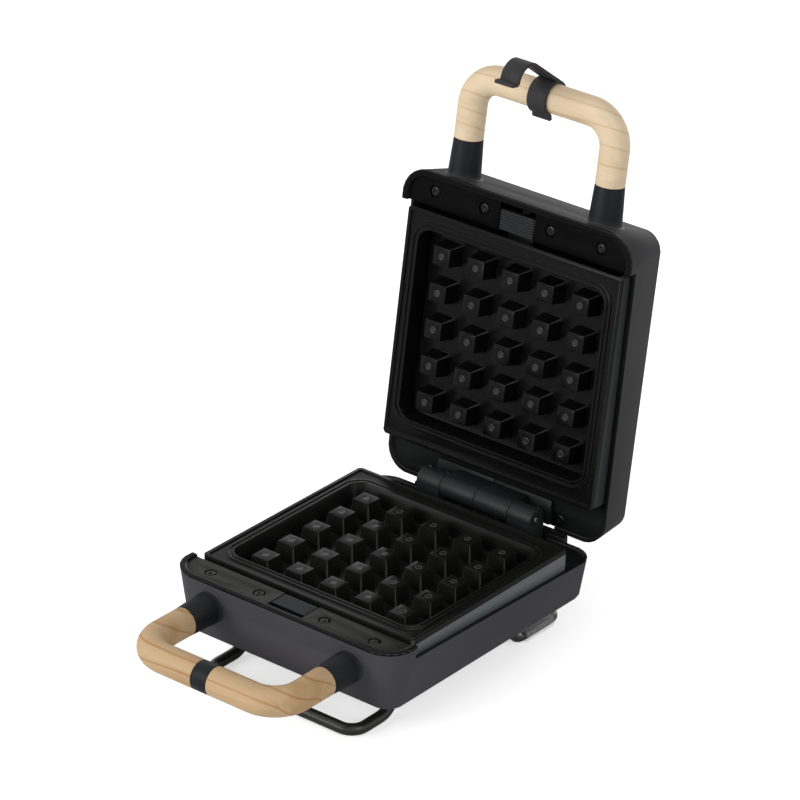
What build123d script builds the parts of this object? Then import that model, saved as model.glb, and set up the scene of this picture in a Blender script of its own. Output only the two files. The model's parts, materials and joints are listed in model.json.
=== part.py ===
from build123d import *
import math
import os

# A countertop sandwich and waffle maker: two mirrored halves, each a moulded housing with a removable
# cast waffle plate, joined by a barrel hinge at the rear and standing on two bent wires.
# X runs across, Y to the rear and Z up. The halves are drawn closed, in a working frame whose Z is 0
# at the top of the lower plate and whose Y is 0 at the plate's front edge. The lid is then swung open,
# and the whole is moved so that the origin lies below the middle of its bounding box. Sizes are in mm.

# How many flats stand in for a round on screws and holes, on wires, and on the handles and the hinge barrel,
# and how far one flat of a rounded corner or one straight run of a bend turns, in degrees
SMALL_SIDES = 6
WIRE_SIDES = 8
LARGE_SIDES = 16
CORNER_STEP = 15.0
GRIP_STEP = 15.0
WIRE_STEP = 22.5

# The removable plates
PLATE_W = 150.0
PLATE_D = 140.0
PLATE_T = 3.2
PLATE_CORNER_CUT = 1.6
PLATE_GAP = 1.0
SKIRT_H = 18.0
SKIRT_T = 2.0
EDGE_LIP_W = 2.2
FLANGE_DROP = 0.9
CAVITY_W = 132.0
CAVITY_D = 116.0
CAVITY_R = 9.0
CAVITY_DEPTH = 12.2
CAVITY_SET_BACK = -1.0
WALL_DRAFT = 7.0
PAN_T = 3.0
BEAD_W = 4.4
BEAD_GROOVE_W = 1.3
BEAD_GROOVE_DEPTH = 0.7

# The studs of the waffle pattern
STUD_COLUMNS = 5
STUD_ROWS = 5
STUD_PITCH_X = 24.5
STUD_PITCH_Y = 22.3
STUD_TOP_W = 11.5
STUD_TOP_D = 11.0
STUD_DROP = 1.2
STUD_DRAFT = 7.5
STUD_CHAMFER = 0.7
DIMPLE_R = 1.8
DIMPLE_DEPTH = 0.8
DIMPLE_TAPER = 50.0

# The housings
BODY_SIDE = 5.4
BODY_FRONT = 23.6
BODY_REAR = 26.8
HALF_H = 39.0
DRAFT = 8.4
WALL = 2.2
CORNER_R = 17.0
FOOT_R = 5.0
FOOT_FLATS = 2
LIP_TOP = 0.2
STEP_Y = -2.6
BASE_RIM = (8.4, 12.6)
LID_RIM = (7.5, 11.5)
NOTCH_HALF_W = 44.0
NOTCH_DEPTH = 4.0

# The front deck and its screws
FIT = 0.3
DECK_DROP = 0.8
DECK_T = 2.4
DECK_BACK = -3.0
DECK_WALL = 2.0
DECK_SCREW_Y = -12.2
DECK_SCREW_X = (23.3, 58.4)
DECK_RECESS_R = 3.5
DECK_RECESS_DEPTH = 1.4
SCREW_HEAD_R = 3.0
SCREW_HEAD_H = 1.3
SCREW_R = 1.4
BOSS_R = 3.4

# The plate-release slider
PAD_W = 24.0
PAD_L = 12.0
PAD_RIB_COUNT = 8
PAD_RIB_H = 0.5
RELEASE_TRAVEL = 4.0
CARRIER_EDGE = 1.5
CARRIER_T = 1.5
TONGUE_W = 18.0
TONGUE_T = 1.6
TONGUE_REACH = 1.4
TONGUE_Z = -7.4
POST_W = 6.0
POST_T = 3.0
POST_DEPTH = 12.2
SPRING_T = 0.5
SPRING_W = 5.0
SPRING_FOLDS = 6
SPRING_SWAY = 1.5

# Inside each half
FRAME_T = 2.0
RING_W = 9.5
REAR_DECK_DROP = 0.7
TRAY_T = 0.8
TRAY_FLANGE = 2.0
TRAY_CLEAR = 0.6
ELEMENT_R = 3.2
ELEMENT_HALF_W = 42.0
ELEMENT_FRONT = 30.0
ELEMENT_BEND_R = 22.0
ELEMENT_TAIL = 6.0
CLIP_L = 10.0
CLIP_W = 12.0
THERMOSTAT_R = 8.0
THERMOSTAT_H = 3.4
THERMOSTAT_CLEAR = 4.8
TERMINAL_TAB = (6.0, 6.0, 0.8)
FRAME_SCREW_Y = 16.0
FRAME_SCREW_INSET = 2.8
FRAME_SCREW_HEAD_R = 2.4
FRAME_BOSS_R = 2.9
SADDLE_BOSS_H = 3.4

# The hinge
HINGE_BEHIND = 16.3
HINGE_Z = -1.0
OPEN_ANGLE = 97.7
BARREL_R = 6.9
KNUCKLE_OUTER = 16.3
KNUCKLE_INNER = 24.2
KNUCKLE_GAP = 0.3
PIN_R = 2.0
PIN_FIT = 0.05
LEAF_T = 2.4
LEAF_BEHIND = 7.5
REAR_SCREW_X = 47.0
REAR_SCREW_BEHIND = 17.5

# The handles
HANDLE_X = 49.6
HANDLE_R = 8.6
HANDLE_DROP = 15.0
HANDLE_OUT = 58.9
HANDLE_BEND_R = 18.0
COLLAR_L = 20.9
COLLAR_ROOT_R = 9.7
BAND_W = 10.8
DOWEL_R = 3.0
DOWEL_L = 34.0
HANDLE_SCREW_R = 2.0
HANDLE_SCREW_L = 44.0
HANDLE_SCREW_HEAD_R = 3.8
HANDLE_SCREW_HEAD_H = 2.4
HANDLE_SEAT_R = 5.0
BORE_FIT = 0.1

# The latch clip on the upper handle
LATCH_W = 12.4
LATCH_T = 1.9
LATCH_FIT = 0.1
HOOK_FIT = 0.4
RING_START = 118.0
RING_END = 370.0
HOOK_END = 300.0
LATCH_LIP = 3.2
HOOK_LIP = 6.0
LATCH_REST_ANGLE = 28.0

# The wire stands and what fixes them
STAND_H = 21.0
FRONT_WIRE_R = 3.5
REAR_WIRE_R = 2.5
WIRE_GAP = 0.1
SLEEVE_R = 4.0
SLEEVE_L = 25.0
SLEEVE_FLAT = 0.4
FRONT_STAND_X = 52.7
FRONT_STAND_INSET = 2.3
REAR_STAND_X = 58.0
REAR_STAND_INSET = 7.8
STAND_CORNER_R = 9.2
STAND_BEND_R = 12.0
STAND_FLOOR_RUN = 27.3
REAR_FLOOR_RUN = 40.0
STAND_TOP_RUN = 22.0
SADDLE_L = 13.0
SADDLE_ARM = 12.5
SADDLE_LIP = 3.0
SADDLE_UNDER = 1.3
SADDLE_SCREW_GAP = 4.6

# The cover, the gland and the electrical parts at the rear of the lower half
COVER_HALF_W = 54.0
COVER_T = 4.7
COVER_WALL = 2.0
COVER_RAISE = 6.0
COVER_CLEAR = 0.4
COVER_CUT = 2.5
COVER_SCREW_X = 46.0
COVER_SCREW_RAISE = 11.0
COVER_EDGE = 14.0
WIRE_SLOT_RAISE = 3.0
WIRE_SLOT_H = 7.0
GLAND_X = 30.0
GLAND_RAISE = 13.4
GLAND_R = 4.6
GLAND_TIP_R = 3.6
GLAND_BORE_R = 2.8
GLAND_L = 12.0
TERMINAL_BLOCK = (26.0, 10.0)
TERMINAL_BEHIND = 3.0
TERMINAL_CLEAR = 0.5
TERMINAL_HOLE_R = 1.5
FUSE_R = 2.2
FUSE_L = 16.0
FUSE_GAP = 8.0

BODY_W = PLATE_W + 2 * BODY_SIDE
BODY_D = BODY_FRONT + PLATE_D + BODY_REAR
BODY_MID = (PLATE_D + BODY_REAR - BODY_FRONT) / 2
BODY_BACK = PLATE_D + BODY_REAR
INNER_FLOOR = -HALF_H + WALL
HINGE_Y = PLATE_D + HINGE_BEHIND
REAR_SCREW_Y = PLATE_D + REAR_SCREW_BEHIND
LEAF_FRONT = PLATE_D + LEAF_BEHIND
REAR_STAND_Y = BODY_BACK - REAR_STAND_INSET
FRONT_STAND_Y = -BODY_FRONT + FRONT_STAND_INSET
COVER_BOTTOM = -HALF_H + COVER_RAISE
GLAND_Z = -HALF_H + GLAND_RAISE
COVER_SCREW_Z = -HALF_H + COVER_SCREW_RAISE
CAVITY_MID = PLATE_D / 2 + CAVITY_SET_BACK
DECK_TOP = -DECK_DROP
DECK_UNDER = DECK_TOP - DECK_T
SKIRT_BOTTOM = -SKIRT_H
FRAME_TOP = SKIRT_BOTTOM - 0.2
FRAME_UNDER = FRAME_TOP - FRAME_T
FRAME_SCREW_X = PLATE_W / 2 - SKIRT_T - FRAME_SCREW_INSET
OPENING_HALF_W = PLATE_W / 2 - RING_W
TRAY_HALF_W = OPENING_HALF_W - TRAY_CLEAR
TRAY_FRONT = RING_W
TRAY_BACK = PLATE_D - RING_W
TRAY_FLOOR = INNER_FLOOR + THERMOSTAT_CLEAR + THERMOSTAT_H
ELEMENT_Z = -CAVITY_DEPTH - PAN_T - 0.3 - ELEMENT_R
ELEMENT_END = TRAY_BACK + ELEMENT_TAIL
PAD_FRONT = DECK_BACK - 0.4 - PAD_L
SLOT_FRONT = PAD_FRONT - RELEASE_TRAVEL - FIT
CARRIER_TOP = DECK_UNDER - FIT
CARRIER_BACK = DECK_BACK - DECK_WALL - FIT
POST_FRONT = CARRIER_BACK - 1.0 - POST_T
HANDLE_Y = -BODY_FRONT - HANDLE_OUT
COLLAR_END = -BODY_FRONT - COLLAR_L
FLOOR_Z = -HALF_H - STAND_H
FRONT_WIRE_Z = FLOOR_Z + FRONT_WIRE_R
REAR_WIRE_Z = FLOOR_Z + SLEEVE_R - SLEEVE_FLAT


def box(x0, x1, y0, y1, z0, z1):
    """A box between two corners."""
    return Pos((x0 + x1) / 2, (y0 + y1) / 2, (z0 + z1) / 2) * Box(x1 - x0, y1 - y0, z1 - z0)


def rounded(width, depth, radius):
    """A rectangle whose corners are rounded by flats that touch the round."""
    turn = math.radians(CORNER_STEP)
    reach = radius / math.cos(turn / 2)
    points = []
    for quarter, (side, end) in enumerate(((1, 1), (-1, 1), (-1, -1), (1, -1))):
        x = side * (width / 2 - radius)
        y = end * (depth / 2 - radius)
        for k in range(round(90 / CORNER_STEP)):
            angle = quarter * math.pi / 2 + (k + 0.5) * turn
            points.append((x + reach * math.cos(angle), y + reach * math.sin(angle)))
    return make_face(Polyline(*points, close=True))


def slab(width, depth, radius, middle_y, z0, z1):
    """An upright slab with rounded corners, centred on X."""
    return extrude(Pos(0, middle_y, z0) * rounded(width, depth, radius), amount=z1 - z0)


def cut_slab(width, depth, cut, middle_y, z0, z1):
    """An upright slab with its corners cut off, centred on X."""
    outline = Pos(0, middle_y, z0) * chamfer(Rectangle(width, depth).vertices(), cut)
    return extrude(outline, amount=z1 - z0)


def inset(z):
    """How far the body's walls stand in at a height, by their draft."""
    return -z * math.tan(math.radians(DRAFT))


def front_wall(z):
    """Y of the body's outer front wall at a height."""
    return -BODY_FRONT + inset(z)


def back_wall(z):
    """Y of the body's outer rear wall at a height."""
    return BODY_BACK - inset(z)


def drafted(step_in, z0, z1, draft):
    """A slice of the body whose top stands in from the outline at Z = 0 by step_in, and that narrows down."""
    outline = rounded(BODY_W - 2 * step_in, BODY_D - 2 * step_in, CORNER_R - step_in)
    return extrude(Pos(0, BODY_MID, z1) * outline, amount=z0 - z1, taper=draft)


def room(clear, z0, z1):
    """The volume between two heights that keeps clear of the body's outer walls by one amount all round."""
    return drafted(clear + inset(z1), z0, z1, DRAFT)


def outer_form():
    """The outer form of one half, whose foot is rounded by flats that touch the round."""
    step = (90 - DRAFT) / (FOOT_FLATS + 1)
    reach = FOOT_R / math.cos(math.radians(step / 2))
    middle_z = FOOT_R - HALF_H
    middle_in = inset(middle_z) + FOOT_R / math.cos(math.radians(DRAFT))
    top = LIP_TOP
    step_in = inset(LIP_TOP)
    slices = []
    for k in range(FOOT_FLATS + 1):
        angle = math.radians(DRAFT + (k + 0.5) * step)
        low = middle_z - reach * math.sin(angle)
        slices.append(drafted(step_in, low, top, DRAFT + k * step))
        top = low
        step_in = middle_in - reach * math.cos(angle)
    return slices[0].fuse(*slices[1:])


def prism(radius, length, sides):
    """A centred bar along Z whose flats stand in for a round, with its corners on the radius."""
    return extrude(RegularPolygon(radius, sides), amount=length / 2, both=True)


def bore(radius, length):
    """A centred cutter along Z whose flats clear a round of this radius."""
    return extrude(RegularPolygon(radius, SMALL_SIDES, major_radius=False), amount=length / 2, both=True)


def tapered(root, tip, length, sides):
    """A bar with flats that stands on Z = 0 and narrows from one radius to another."""
    inset = (root - tip) * math.cos(math.pi / sides)
    return extrude(RegularPolygon(root, sides), amount=length, taper=math.degrees(math.atan(inset / length)))


def along_z(x, y, z0, z1):
    """Where a centred upright piece goes to reach from z0 to z1."""
    return Pos(x, y, (z0 + z1) / 2)


def along_x(y, z, x0, x1):
    """Where a centred piece goes to lie along X from x0 to x1."""
    return Pos((x0 + x1) / 2, y, z) * Rot(0, 90, 0)


def along_y(x, z, y0, y1):
    """Where a centred piece goes to lie along Y from y0 to y1."""
    return Pos(x, (y0 + y1) / 2, z) * Rot(90, 0, 0)


def post(x, y, z0, z1, radius, sides=SMALL_SIDES):
    """An upright post."""
    return along_z(x, y, z0, z1) * prism(radius, z1 - z0, sides)


def bar_x(y, z, x0, x1, radius, sides=SMALL_SIDES):
    """A bar along X."""
    return along_x(y, z, x0, x1) * prism(radius, x1 - x0, sides)


def bar_y(x, z, y0, y1, radius, sides=SMALL_SIDES):
    """A bar along Y."""
    return along_y(x, z, y0, y1) * prism(radius, y1 - y0, sides)


def hole_z(x, y, z0, z1, radius):
    """An upright hole."""
    return along_z(x, y, z0, z1) * bore(radius, z1 - z0)


def hole_x(y, z, x0, x1, radius):
    """A hole along X."""
    return along_x(y, z, x0, x1) * bore(radius, x1 - x0)


def hole_y(x, z, y0, y1, radius):
    """A hole along Y."""
    return along_y(x, z, y0, y1) * bore(radius, y1 - y0)


def pivot(y, z, x0, x1, radius):
    """A true round along X, for the hinge pin and the bores that run on it."""
    return along_x(y, z, x0, x1) * Cylinder(radius, x1 - x0)


def bent(corners, radii, step):
    """A route through corners, each rounded to its radius by straight runs that turn one step each."""
    points = [Vector(*corners[0])]
    for i, radius in enumerate(radii):
        before, corner, after = (Vector(*c) for c in corners[i : i + 3])
        back = (before - corner).normalized()
        ahead = (after - corner).normalized()
        turn = 180 - back.get_angle(ahead)
        half = math.radians(180 - turn) / 2
        centre = corner + (back + ahead).normalized() * (radius / math.sin(half))
        arm = corner + back * (radius / math.tan(half)) - centre
        about = Axis((0, 0, 0), ahead.cross(back))
        steps = math.ceil(turn / step - 0.01)
        points += [centre + arm.rotate(about, turn * k / steps) for k in range(steps + 1)]
    return Polyline(*points, Vector(*corners[-1]))


def tube(route, radius, sides):
    """A bar with flats swept along a bent route that starts along Y."""
    start = Plane(origin=route @ 0, x_dir=(1, 0, 0), z_dir=route % 0)
    return sweep(start * RegularPolygon(radius, sides), path=route, transition=Transition.RIGHT)


def both_sides(piece):
    """The piece and its mirror image across the middle of the object."""
    return Compound(children=[piece, mirror(piece, about=Plane.YZ)])


def screw(x, y, head_top, length, head_r=SCREW_HEAD_R, head_h=SCREW_HEAD_H, shank_r=SCREW_R):
    """A pan-head screw that points down, with its head's top at head_top."""
    head = post(x, y, head_top - head_h, head_top, head_r)
    return head + post(x, y, head_top - head_h - length, head_top - head_h, shank_r)


def rim_height(rim, y):
    """Height of a half's side rim at y, which falls from the front to the rear."""
    front, rear = rim
    return -(front + (rear - front) * y / PLATE_D)


def handle_seat():
    """Y of the flat seats inside the drafted front wall that the handle screws' heads bear on."""
    return front_wall(-HANDLE_DROP - HANDLE_SEAT_R) + WALL


def housing(rim, posts_to_deck):
    """The open moulded shell of one half, high in front and with a rim that falls to the rear."""
    shell = outer_form() - room(WALL, INNER_FLOOR, LIP_TOP + 1)
    far = BODY_BACK + 1
    above = Polyline(
        (STEP_Y, rim_height(rim, STEP_Y)), (far, rim_height(rim, far)), (far, 5), (STEP_Y, 5), close=True
    )
    wedge = extrude(Plane.YZ * make_face(above), amount=BODY_W, both=True)
    shell -= wedge
    rear_rim = rim_height(rim, BODY_BACK)
    shell -= box(-NOTCH_HALF_W, NOTCH_HALF_W, HINGE_Y, far, rear_rim - NOTCH_DEPTH, 5)
    for x in posts_to_deck:
        for side in (-1, 1):
            shell += post(side * x, DECK_SCREW_Y, INNER_FLOOR - 0.5, DECK_UNDER, BOSS_R)
            shell -= hole_z(side * x, DECK_SCREW_Y, DECK_UNDER - 8, DECK_UNDER, SCREW_R + 0.05)
    for side in (-1, 1):
        for x, y in ((FRAME_SCREW_X, FRAME_SCREW_Y), (REAR_SCREW_X, REAR_SCREW_Y)):
            shell += post(side * x, y, INNER_FLOOR - 0.5, FRAME_UNDER, FRAME_BOSS_R)
            shell -= hole_z(side * x, y, FRAME_UNDER - 7, FRAME_UNDER, SCREW_R + 0.05)
        x, z, seat = side * HANDLE_X, -HANDLE_DROP, handle_seat()
        shell += bar_y(x, z, seat - 0.8 * WALL, seat, HANDLE_SEAT_R, LARGE_SIDES)
        shell -= hole_y(x, z, -BODY_FRONT - 1, seat + 1, HANDLE_SCREW_R + BORE_FIT)
    return shell


def base_housing():
    """The lower shell, with holes for the stand screws and for the wires at the rear."""
    shell = housing(BASE_RIM, DECK_SCREW_X)
    low = COVER_BOTTOM + WIRE_SLOT_RAISE
    half = COVER_HALF_W - COVER_EDGE
    shell -= box(-half, half, HINGE_Y, BODY_BACK + 1, low, low + WIRE_SLOT_H)
    start = cover_screw_tip() - 0.5
    for side in (-1, 1):
        shell -= hole_y(side * COVER_SCREW_X, COVER_SCREW_Z, start, BODY_BACK, SCREW_R + 0.05)
    top = INNER_FLOOR + SADDLE_BOSS_H
    for wire_x, y, radius in saddle_places():
        for side in (-1, 1):
            x = side * (wire_x - radius - SADDLE_SCREW_GAP)
            shell += post(x, y, INNER_FLOOR - 0.5, top, BOSS_R)
            shell -= hole_z(x, y, -HALF_H - 1, top - 0.3, SCREW_R + 0.05)
    return shell


def deck():
    """The flat deck in front of the plate, with the slider's slot and guide rails."""
    clear = WALL + 0.2
    inside = room(clear, SKIRT_BOTTOM, DECK_TOP)
    top = inside & box(-BODY_W, BODY_W, -BODY_FRONT, DECK_BACK, DECK_UNDER, DECK_TOP)
    wall_front = DECK_BACK - DECK_WALL
    top += inside & box(-BODY_W, BODY_W, wall_front, DECK_BACK, SKIRT_BOTTOM, DECK_TOP)
    half = PAD_W / 2 + FIT
    top -= box(-half, half, SLOT_FRONT, 0, DECK_UNDER - 0.1, 1)
    tongue = TONGUE_W / 2 + FIT
    reach = TONGUE_T / 2 + FIT
    top -= box(-tongue, tongue, wall_front - 1, 0, TONGUE_Z - reach, TONGUE_Z + reach)
    rail_in = PAD_W / 2 + CARRIER_EDGE + FIT
    rail_low = CARRIER_TOP - CARRIER_T - FIT
    for side in (-1, 1):
        lip_in, rail, rail_out = (side * v for v in (rail_in - 1.6, rail_in, rail_in + 1.8))
        top += box(*sorted((rail, rail_out)), SLOT_FRONT, wall_front, rail_low - 1.4, DECK_UNDER + 0.1)
        top += box(*sorted((lip_in, rail_out)), SLOT_FRONT, wall_front, rail_low - 1.4, rail_low)
    for x in DECK_SCREW_X:
        for side in (-1, 1):
            top -= hole_z(side * x, DECK_SCREW_Y, DECK_TOP - DECK_RECESS_DEPTH, 1, DECK_RECESS_R)
            top -= hole_z(side * x, DECK_SCREW_Y, DECK_UNDER - 1, 1, SCREW_R + 0.1)
    return top


def deck_screws():
    """The four screws that hold the deck."""
    head_top = DECK_TOP - DECK_RECESS_DEPTH + SCREW_HEAD_H
    shapes = [screw(side * x, DECK_SCREW_Y, head_top, 7.0) for x in DECK_SCREW_X for side in (-1, 1)]
    return Compound(children=shapes)


def release_slider():
    """The ribbed pad that is pulled forward to free the plate, with its carrier, post and tongue."""
    half = PAD_W / 2
    pad_top = DECK_TOP - PAD_RIB_H
    pad_back = DECK_BACK - 0.4
    pad = box(-half, half, PAD_FRONT, pad_back, DECK_UNDER + 0.2, pad_top)
    pad += box(-half, half, PAD_FRONT, CARRIER_BACK, CARRIER_TOP - 0.1, DECK_UNDER + 0.3)
    pitch = PAD_L / PAD_RIB_COUNT
    for i in range(PAD_RIB_COUNT):
        y = PAD_FRONT + (i + 0.25) * pitch
        pad += box(-half + 0.6, half - 0.6, y, y + pitch / 2, pad_top - 0.1, pad_top + PAD_RIB_H)
    wide = half + CARRIER_EDGE
    pad += box(-wide, wide, PAD_FRONT, CARRIER_BACK, CARRIER_TOP - CARRIER_T, CARRIER_TOP)
    post_back = POST_FRONT + POST_T
    pad += box(-POST_W / 2, POST_W / 2, POST_FRONT, post_back, -POST_DEPTH, CARRIER_TOP - 0.1)
    tongue = TONGUE_W / 2
    half_t = TONGUE_T / 2
    pad += box(-tongue, tongue, POST_FRONT, TONGUE_REACH, TONGUE_Z - half_t, TONGUE_Z + half_t)
    return pad


def slider_spring():
    """The folded strip spring between the housing's front wall and the slider's post."""
    middle = -POST_DEPTH + SPRING_SWAY + 0.9
    start = front_wall(middle - SPRING_SWAY - SPRING_T) + WALL + SPRING_T / 2 + 0.05
    end = POST_FRONT - SPRING_T / 2 - 0.05
    points = [(start, middle + SPRING_SWAY)]
    for i in range(SPRING_FOLDS + 1):
        along = start + (end - start) * i / SPRING_FOLDS
        points.append((along, middle + (SPRING_SWAY if i % 2 else -SPRING_SWAY)))
    points.append((end, middle + SPRING_SWAY * 0.9))
    strip = trace(Polyline(*points), line_width=SPRING_T)
    return extrude(Plane.YZ * strip, amount=SPRING_W / 2, both=True)


def stud():
    """One stud of the waffle pattern, standing on the plane Z = 0, with its vertical edges chamfered."""
    height = CAVITY_DEPTH - STUD_DROP
    spread = 2 * height * math.tan(math.radians(STUD_DRAFT))
    foot = Rectangle(STUD_TOP_W + spread, STUD_TOP_D + spread)
    foot = chamfer(foot.vertices(), STUD_CHAMFER + spread / 8)
    body = extrude(foot, amount=height, taper=STUD_DRAFT)
    dimple = extrude(RegularPolygon(DIMPLE_R, SMALL_SIDES), amount=DIMPLE_DEPTH, taper=DIMPLE_TAPER)
    return body - Pos(0, 0, height) * Rot(180, 0, 0) * dimple


def waffle_plate():
    """The cast plate: a flange with a raised edge and a double bead round the studded cavity, and a skirt."""
    middle = PLATE_D / 2
    under_w = PLATE_W - 2 * SKIRT_T
    under_d = PLATE_D - 2 * SKIRT_T
    plate = cut_slab(PLATE_W, PLATE_D, PLATE_CORNER_CUT, middle, SKIRT_BOTTOM, 0)
    under_back = SKIRT_T + under_d
    plate -= box(-under_w / 2, under_w / 2, SKIRT_T, under_back, SKIRT_BOTTOM - 1, -PLATE_T)
    pan_w = CAVITY_W + 2 * PAN_T
    pan_d = CAVITY_D + 2 * PAN_T
    plate += cut_slab(pan_w, pan_d, CAVITY_R / 2, CAVITY_MID, -CAVITY_DEPTH - PAN_T, -PLATE_T + 0.5)
    flange_w = PLATE_W - 2 * EDGE_LIP_W
    flange_d = PLATE_D - 2 * EDGE_LIP_W
    hollow = cut_slab(flange_w, flange_d, 1.0, middle, -FLANGE_DROP, 1)
    bead_w = CAVITY_W + 2 * BEAD_W
    bead_d = CAVITY_D + 2 * BEAD_W
    hollow -= slab(bead_w, bead_d, CAVITY_R + BEAD_W, CAVITY_MID, -FLANGE_DROP - 1, 2)
    plate -= hollow
    inset = (BEAD_W - BEAD_GROOVE_W) / 2
    outer = CAVITY_R + BEAD_W - inset
    groove = slab(bead_w - 2 * inset, bead_d - 2 * inset, outer, CAVITY_MID, -BEAD_GROOVE_DEPTH, 1)
    shrink = 2 * (inset + BEAD_GROOVE_W)
    core_r = outer - BEAD_GROOVE_W
    groove -= slab(bead_w - shrink, bead_d - shrink, core_r, CAVITY_MID, -2 * BEAD_GROOVE_DEPTH, 2)
    plate -= groove
    mouth = Pos(0, CAVITY_MID, 0) * rounded(CAVITY_W, CAVITY_D, CAVITY_R)
    plate -= extrude(mouth, amount=-CAVITY_DEPTH, taper=WALL_DRAFT)
    one = stud()
    places = GridLocations(STUD_PITCH_X, STUD_PITCH_Y, STUD_COLUMNS, STUD_ROWS)
    studs = [Pos(0, CAVITY_MID, -CAVITY_DEPTH) * place * one for place in places]
    plate = plate.fuse(*studs)
    reach = TONGUE_T / 2 + FIT
    half = TONGUE_W / 2 + FIT
    plate -= box(-half, half, -1, SKIRT_T + 1, TONGUE_Z - reach, TONGUE_Z + reach)
    return plate


def cold_end_room():
    """The two channels that the element's cold ends lie in where they cross the tray and the frame."""
    start = TRAY_BACK - 6
    end = ELEMENT_END + FIT
    channel = hole_y(ELEMENT_HALF_W, ELEMENT_Z, start, end, ELEMENT_R + FIT)
    reach = ELEMENT_R + FIT
    sides = (ELEMENT_HALF_W - reach, ELEMENT_HALF_W + reach)
    channel += box(*sides, start, end, ELEMENT_Z, ELEMENT_Z + 2 * reach)
    return channel + mirror(channel, about=Plane.YZ)


def inner_frame():
    """The frame that the plate's skirt rests on, with the low deck behind the plate and its screw holes."""
    ring = room(WALL + 0.2, FRAME_UNDER, FRAME_TOP)
    ring &= box(-BODY_W, BODY_W, DECK_BACK + 0.3, BODY_BACK, FRAME_UNDER, FRAME_TOP)
    opening_d = TRAY_BACK - TRAY_FRONT
    ring -= cut_slab(2 * OPENING_HALF_W, opening_d, 3.5, PLATE_D / 2, FRAME_UNDER - 1, FRAME_TOP + 1)
    for side in (-1, 1):
        ring -= hole_z(side * FRAME_SCREW_X, FRAME_SCREW_Y, FRAME_UNDER - 1, FRAME_TOP + 1, SCREW_R + 0.1)
    return ring - cold_end_room()


def rear_deck_top(rim):
    """The height of the low deck behind the plate, just below the rear rim."""
    return rim_height(rim, BODY_BACK) - REAR_DECK_DROP


def frame_with_rear_deck(rim, leaf_screw_x):
    """The inner frame and the deck behind the plate, which the hinge leaves sit on, in one moulding."""
    top = rear_deck_top(rim)
    block = room(WALL + 0.2, FRAME_TOP, top)
    whole = inner_frame() + (block & box(-BODY_W, BODY_W, PLATE_D + FIT, BODY_BACK, FRAME_TOP, top))
    for side in (-1, 1):
        for x, y in ((leaf_screw_x, HINGE_Y), (REAR_SCREW_X, REAR_SCREW_Y)):
            whole -= hole_z(side * x, y, FRAME_UNDER - 1, top + 1, SCREW_R + 0.1)
    return whole


def frame_screws(rim):
    """The screws that hold the inner frame, in front and in the rear deck."""
    top = FRAME_TOP + SCREW_HEAD_H
    rear_top = rear_deck_top(rim) + SCREW_HEAD_H
    screws = []
    for side in (-1, 1):
        screws.append(screw(side * FRAME_SCREW_X, FRAME_SCREW_Y, top, 8.0, head_r=FRAME_SCREW_HEAD_R))
        screws.append(screw(side * REAR_SCREW_X, REAR_SCREW_Y, rear_top, rear_top - FRAME_UNDER + 4.0))
    return Compound(children=screws)


def reflector_tray():
    """The sheet-metal tray under the heating element, hung from the frame by its flange."""
    depth = TRAY_BACK - TRAY_FRONT - 2 * TRAY_CLEAR
    middle = PLATE_D / 2
    width = 2 * TRAY_HALF_W
    tray = cut_slab(width, depth, 3.5, middle, TRAY_FLOOR, FRAME_UNDER)
    flange_top = FRAME_UNDER - 0.1
    flange_w = width + 2 * TRAY_FLANGE
    flange = cut_slab(flange_w, depth + 2 * TRAY_FLANGE, 4.5, middle, flange_top - TRAY_T, flange_top)
    tray = (tray & box(-BODY_W, BODY_W, 0, BODY_BACK, TRAY_FLOOR, flange_top)) + flange
    hollow_w = width - 2 * TRAY_T
    tray -= cut_slab(hollow_w, depth - 2 * TRAY_T, 3.0, middle, TRAY_FLOOR + TRAY_T, FRAME_TOP)
    return tray - cold_end_room()


def heating_element():
    """The sheathed element: one long bend with both cold ends leaving over the tray's rear edge."""
    corners = [
        (-ELEMENT_HALF_W, ELEMENT_END, ELEMENT_Z),
        (-ELEMENT_HALF_W, ELEMENT_FRONT, ELEMENT_Z),
        (ELEMENT_HALF_W, ELEMENT_FRONT, ELEMENT_Z),
        (ELEMENT_HALF_W, ELEMENT_END, ELEMENT_Z),
    ]
    return tube(bent(corners, [ELEMENT_BEND_R] * 2, GRIP_STEP), ELEMENT_R, SMALL_SIDES)


def element_clips():
    """Ceramic saddles that carry the element on the tray's floor."""
    floor = TRAY_FLOOR + TRAY_T
    saddles = []
    for y in (ELEMENT_FRONT + ELEMENT_BEND_R + 10, TRAY_BACK - 20):
        for side in (-1, 1):
            x = side * ELEMENT_HALF_W
            block = box(x - CLIP_W / 2, x + CLIP_W / 2, y - CLIP_L / 2, y + CLIP_L / 2, floor, ELEMENT_Z)
            saddles.append(block - hole_y(x, ELEMENT_Z, y - CLIP_L, y + CLIP_L, ELEMENT_R + 0.05))
    return Compound(children=saddles)


def thermostat():
    """The round thermostat under the tray, with its two flat terminals."""
    low = TRAY_FLOOR - THERMOSTAT_H
    middle = PLATE_D / 2
    body = post(0, middle, low, TRAY_FLOOR, THERMOSTAT_R, LARGE_SIDES)
    reach = THERMOSTAT_R + TERMINAL_TAB[0]
    half = TERMINAL_TAB[1] / 2
    return body + box(-reach, reach, middle - half, middle + half, low + 1, low + 1 + TERMINAL_TAB[2])


def leaf_back(rim):
    """Y of the hinge leaves' rear edge, just inside the rear wall."""
    return back_wall(rear_deck_top(rim)) - WALL - 0.4


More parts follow.
